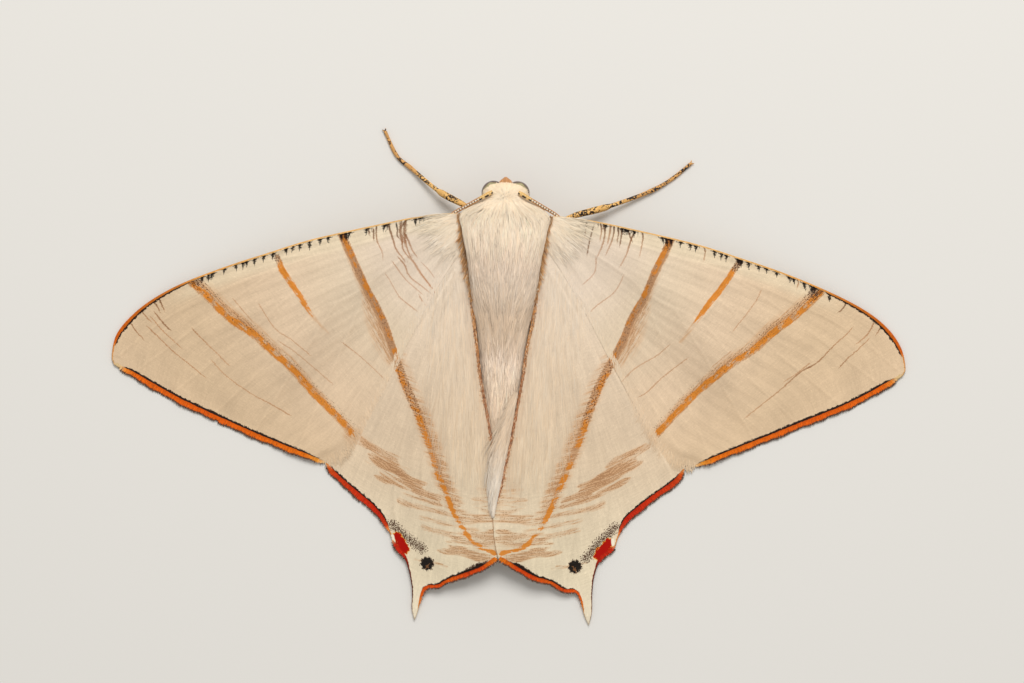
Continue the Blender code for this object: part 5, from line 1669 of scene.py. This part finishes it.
# Legs, antennae and palps, as in the solids: the points of each path, outwards on the right
ANTENNA_PATH = [
    (1.1, 14.45, 4.62), (1.85, 14.03, 4.5), (2.9, 13.45, 4.0), (4.2, 12.74, 3.2), (5.2, 12.05, 2.9),
    (7.5, 11.2, 2.55), (11.5, 10.2, 1.95), (15.6, 9.0, 1.35),
]
LEGS = {
    "foreleg_right": [
        (1.1, 11.5, 1.0), (2.6, 11.6, 1.1), (4.9, 12.2, 1.85), (5.9, 12.7, 1.75), (8.9, 13.6, 1.0),
        (12.2, 14.9, 0.32), (14.1, 16.0, 0.2), (15.9, 17.5, 0.2),
    ],
    "foreleg_left": [
        (1.1, 11.6, 1.0), (2.3, 12.3, 1.15), (3.1, 13.1, 1.85), (3.6, 13.45, 1.8), (5.75, 14.6, 1.05),
        (8.1, 16.5, 0.32), (9.4, 17.6, 0.2), (10.5, 19.75, 0.2),
    ],
    "midleg": [
        (1.1, 9.9, 1.0), (2.7, 9.6, 1.1), (5.4, 8.8, 1.8), (6.2, 8.3, 1.75), (9.4, 6.0, 0.8),
        (11.4, 3.9, 0.28), (12.4, 2.4, 0.2), (13.1, 0.8, 0.2),
    ],
    "hindleg": [
        (1.1, 8.2, 1.0), (2.4, 7.2, 1.1), (4.1, 5.2, 1.7), (4.4, 4.4, 1.65), (4.3, 0.4, 0.8),
        (4.6, -2.6, 0.28), (4.9, -4.6, 0.2), (5.3, -6.8, 0.2),
    ],
}
PALP_PATH = [(0.46, 14.65, 1.4), (0.4, 15.1, 1.5), (0.28, 15.42, 1.85), (0.14, 15.66, 2.3)]
# Radius of a leg against the number of its path's point: thigh, knee, the full shin, the thin jointed foot
LEG_PROFILE = [
    (0.0, 0.33), (1.0, 0.34), (2.0, 0.26), (2.9, 0.2), (3.1, 0.26), (3.5, 0.3), (3.9, 0.29), (4.04, 0.18),
    (5.0, 0.17), (5.05, 0.2), (5.5, 0.17), (5.95, 0.14), (6.05, 0.165), (6.8, 0.13), (6.95, 0.15),
    (7.0, 0.1),
]
# An antenna's middle and rails: radii, the rails' distance from the middle and the beads' spacing
CORE_RADIUS, RAIL_RADIUS, RAIL_AWAY, BEAD_PITCH = 0.085, 0.045, 0.105, 0.2
# The spurs' place on a leg, as a share of its length
SPUR_AT = 0.58
LEG_YELLOW, LEG_SPECK = lin(242, 190, 112), lin(44, 30, 24)
RAIL_BROWN, RAIL_PALE, RAIL_TICK = lin(196, 136, 78), lin(248, 236, 212), lin(104, 72, 52)
SCAPE_YELLOW = lin(238, 196, 122)
PALP_BROWN = lin(216, 158, 106)
EYE_ROWS = [(-1.0, *lin(150, 104, 74)), (0.1, *lin(156, 108, 74)), (0.28, *lin(88, 54, 42)),
            (0.5, *lin(84, 58, 44)), (0.62, *lin(156, 144, 104)), (1.0, *lin(176, 168, 128))]
EYE_CENTRE, EYE_SIZE = (1.02, 14.45, 2.92), (1.03, 1.03, 1.13)


def leg_material():
    net = Net("leg_scales")
    place = net.node("TexCoord", {}, output="Object")
    speck = net.noise(place, 1000 * 6.2, 1.0, 0.5)
    patch = net.noise(place, 1000 * 1.1, 1.0)
    mask = net.step(speck + (patch - 0.5) * 0.6, 0.535, 0.585)
    colour = net.mix(mask, net.scaled(net.colour("tint"), 0.9 + (patch - 0.5) * 0.5), LEG_SPECK)
    return net.finish(colour, 0.6, net.bump(speck, 0.03), 0.3)


def drawn_tube(path, radii, side, round_steps=3):
    """A tube of varying radius: a curve through the path's points, given thickness and made a mesh."""
    bpy.ops.object.select_all(action="DESELECT")
    bpy.ops.curve.primitive_bezier_curve_add(location=(0, 0, 0))
    obj = bpy.context.active_object
    curve = obj.data
    spline = curve.splines[0]
    spline.bezier_points.add(len(path) - 2)
    for knot, place, radius in zip(spline.bezier_points, place_on(path, side), radii):
        knot.co, knot.radius = place, radius
        knot.handle_left_type = knot.handle_right_type = "AUTO"
    curve.dimensions = "3D"
    curve.resolution_u = 2
    curve.bevel_depth, curve.bevel_resolution = MM, round_steps
    curve.use_fill_caps = True
    bpy.ops.object.convert(target="MESH")
    return bpy.context.active_object


def join(objects):
    bpy.ops.object.select_all(action="DESELECT")
    for obj in objects:
        obj.select_set(True)
    bpy.context.view_layer.objects.active = objects[0]
    bpy.ops.object.join()


def points_of(obj, side):
    """The piece's corner points in millimetres of the moth, one side."""
    co = np.empty(len(obj.data.vertices) * 3)
    obj.data.vertices.foreach_get("co", co)
    return (co.reshape(-1, 3) / MM - MIDLINE) * (side, 1, 1)


def add_leg(name, path, side, material):
    points = spaced(path, 0.2)
    share = np.linspace(0, 1, len(points))
    knots = run_of(np.array(path))
    radii = table(LEG_PROFILE, np.interp(share, knots / knots[-1], np.arange(len(knots))))
    parts = [drawn_tube(points, radii, side)]
    end, before = points[-1], points[-3]
    ahead = unit(end - before)
    for spread in (-1, 1):
        away = np.array([-ahead[1], ahead[0], 0.0]) * spread
        tip = end + ahead * 0.14 + away * 0.18 - (0, 0, 0.06)
        claw = [end - ahead * 0.1, end + ahead * 0.06 + away * 0.12, tip]
        parts.append(drawn_tube(claw, (0.07, 0.05, 0.015), side, 1))
    if "fore" not in name:
        knee = points[int(SPUR_AT * len(points))]
        along = unit(points[int(SPUR_AT * len(points)) + 4] - knee)
        for spread in (-1, 1):
            away = np.array([-along[1], along[0], 0.2]) * spread
            spur = [knee, knee + along * 0.35 + away * 0.25, knee + along * 0.85 + away * 0.3]
            parts.append(drawn_tube(spur, (0.09, 0.07, 0.02), side, 1))
    join(parts)
    obj = finish_piece(name + "_scales", material, [name])
    p = points_of(obj, side)
    foot = rise(near_line(p[:, :2], points[:, :2])[2] / near_line(points[-1:, :2], points[:, :2])[2], 0.5, 0.7)
    set_attribute(obj.data, "tint", mixed(one_tint(LEG_YELLOW, len(p)), lin(214, 150, 84), foot * 0.6))


def add_antenna(name, side, material):
    """Two beaded brown rails with a pale, dark-ticked middle, from a yellow first joint."""
    points = spaced(ANTENNA_PATH, 0.05)
    run = np.linspace(0, 0.05 * (len(points) - 1), len(points))
    across = unit(np.cross(unit(np.gradient(points, axis=0)), (0.0, 0.0, 1.0)))
    taper = np.interp(run, [0, 0.4, 1.3, 3, run[-1] * 0.8, run[-1]], [0.9, 1.2, 1.0, 1.0, 0.75, 0.4])
    beads = 1 + 0.16 * np.sin(2 * math.pi * run / BEAD_PITCH)
    parts = [drawn_tube(points, CORE_RADIUS * taper, side, 2)]
    for way in (-1, 1):
        rail = points + across * (RAIL_AWAY * taper * way)[:, None] + (0, 0, 0.01)
        parts.append(drawn_tube(rail, RAIL_RADIUS * taper * beads, side, 2))
    middle = len(parts[0].data.vertices)
    join(parts)
    obj = finish_piece(name + "_rails", material, [name])
    p = points_of(obj, side)
    along = near_line(p[:, :2], points[:, :2])[2]
    core = np.arange(len(p)) < middle
    tick = core & (np.mod(along, 0.24) < 0.09)
    tint = np.where(core[:, None], RAIL_PALE, RAIL_BROWN)
    tint = np.where(tick[:, None], RAIL_TICK, tint)
    scape = 1 - rise(along, 1.0, 1.5)
    tint = mixed(tint, SCAPE_YELLOW, scape * 0.85)
    rear_side = p[:, 1] < np.interp(along, run, points[:, 1]) - 0.02
    marks = (along < 1.3) & rear_side & (np.mod(along + 0.2, 0.62) < 0.36)
    set_attribute(obj.data, "tint", np.where(marks[:, None], LEG_SPECK, tint))


def add_eye(name, side, material):
    """A domed eye, seen from above as a dark crescent round the fur of the head."""
    bpy.ops.object.select_all(action="DESELECT")
    bpy.ops.mesh.primitive_uv_sphere_add(
        segments=40, ring_count=24, radius=MM, location=place_on(EYE_CENTRE, side), scale=EYE_SIZE
    )
    obj = finish_piece(name + "_dome", material, [name])
    p = points_of(obj, side)
    high = (p[:, 2] - EYE_CENTRE[2]) / EYE_SIZE[2]
    set_attribute(obj.data, "tint", between(EYE_ROWS, high + 0.06 * ripples(p[:, :2], 41, 0.9)))


def add_palp(name, side, material):
    points = spaced(PALP_PATH, 0.2)
    share = np.linspace(0, 1, len(points))
    drawn_tube(points, np.interp(share, [0, 0.5, 0.8, 1], [0.24, 0.28, 0.2, 0.07]), side)
    obj = finish_piece(name + "_core", material, [name])
    set_attribute(obj.data, "tint", one_tint(PALP_BROWN, len(obj.data.vertices)))


def add_face_scales(material):
    """Short brown scales on the face and palps, drawn forward into two blunt points."""
    rng = np.random.default_rng(17)
    count = FACE_HAIRS
    x = rng.uniform(-0.8, 0.8, count)
    deep = rng.uniform(0, 1, count)
    start = columns(x, 15.12 - 0.25 * np.abs(x) - 0.1 * deep, 3.75 - 0.5 * np.abs(x) - 1.5 * deep)
    reach = 15.95 - 0.62 * (np.abs(x) / 0.75) - 0.08 * (np.abs(x) < 0.05) - rng.uniform(0, 0.1, count)
    end_z = start[:, 2] - 0.5 - 0.4 * (1 - deep)
    end = columns(x * 0.93, np.maximum(reach, start[:, 1] + 0.15), end_z)
    lift = (0.0, 0.0, 0.12)
    lines = np.stack([start, start * 0.6 + end * 0.4 + lift, start * 0.25 + end * 0.75 + lift, end], 1)
    # Painted shade: the scales darken the deeper and lower they sit under the face
    base = tinted(one_tint(PALP_BROWN, count), 1 - 0.35 * rise(deep, 0.3, 1.0))
    tints = strand_tints(base, rng, 0.72, 1.0, 0.1)
    uv = columns(0.5 + x * 0.3, 0.3 + deep * 0.4)
    add_hairs("face_scales", lines, rng.uniform(0.09, 0.13, count), tints, uv, 1, material)


def add_head_parts():
    antenna, leg = tinted_material("antenna_scales", 0.55), leg_material()
    eye, face = tinted_material("eye_dome", 0.22, 0.5), tinted_material("face_scales", 0.7, 0.2)
    for name, side in SIDES.items():
        add_antenna("antenna_" + name, side, antenna)
        add_eye("eye_" + name, side, eye)
        add_palp("palp_" + name, side, face)
        for pair, path in (("foreleg_", "foreleg_" + name), ("midleg_", "midleg"), ("hindleg_", "hindleg")):
            add_leg(pair + name, LEGS[path], side, leg)
    add_face_scales(face)


# The studio: the floor's tint and half width, the photo's frame across and its centre, the lens and the lights
FLOOR_TINT, FLOOR_HALF = lin(226, 223, 217), 400.0
FRAME_WIDTH = 87.96
LENS, SENSOR = 100.0, 36.0
FRAME_CENTRE = (0.81, 1.86)
PHOTO_TURN = math.radians(1.2)
SUN_PLACE, SUN_SIZE, SUN_POWER = (30.0, 230.0, 330.0), 190.0, 1.12
SKY_TINT, SKY_POWER = (1.0, 0.985, 0.96), 0.5


def add_studio():
    """A pale floor, one large soft light from the head's side, a soft sky and the camera."""
    corners = np.array([(-1, -1, 0), (1, -1, 0), (1, 1, 0), (-1, 1, 0)]) * FLOOR_HALF
    mesh = mesh_from("floor", corners * MM, np.array([[0, 1, 2, 3]]))
    net = Net("floor")
    mesh.materials.append(net.finish(tuple(FLOOR_TINT), 0.9, None, 0.0))
    stand("floor", mesh)

    lamp = bpy.data.lights.new("soft_light", "AREA")
    lamp.size = SUN_SIZE * MM
    lamp.energy = SUN_POWER
    light = stand("soft_light", lamp)
    place = np.array(SUN_PLACE) * MM
    light.location = place
    light.rotation_euler = Vector(-place).to_track_quat("-Z", "Y").to_euler()

    world = bpy.data.worlds.new("sky")
    world.use_nodes = True
    sky = world.node_tree.nodes["Background"]
    sky.inputs["Color"].default_value = (*SKY_TINT, 1.0)
    sky.inputs["Strength"].default_value = SKY_POWER
    bpy.context.scene.world = world

    lens = bpy.data.cameras.new("camera")
    lens.lens, lens.sensor_width = LENS, SENSOR
    lens.clip_start, lens.clip_end = 0.01, 10.0
    camera = stand("camera", lens)
    centre = (np.array([*FRAME_CENTRE, 0.0]) + MIDLINE) * MM
    camera.location = (centre[0], centre[1], FRAME_WIDTH * LENS / SENSOR * MM)
    camera.rotation_euler = (0.0, 0.0, PHOTO_TURN)
    bpy.context.scene.camera = camera
    bpy.context.scene.view_settings.view_transform = "Standard"


fur = tinted_material("body_fur", 0.6, 0.2)
hair = tinted_material("wing_hair", 0.6, 0.15)
add_wings(wing_material())
add_fringes(hair)
add_wing_hairs(hair)
add_body_skin(fur)
add_body_fur(fur)
add_head_fur(fur)
add_head_parts()
add_studio()
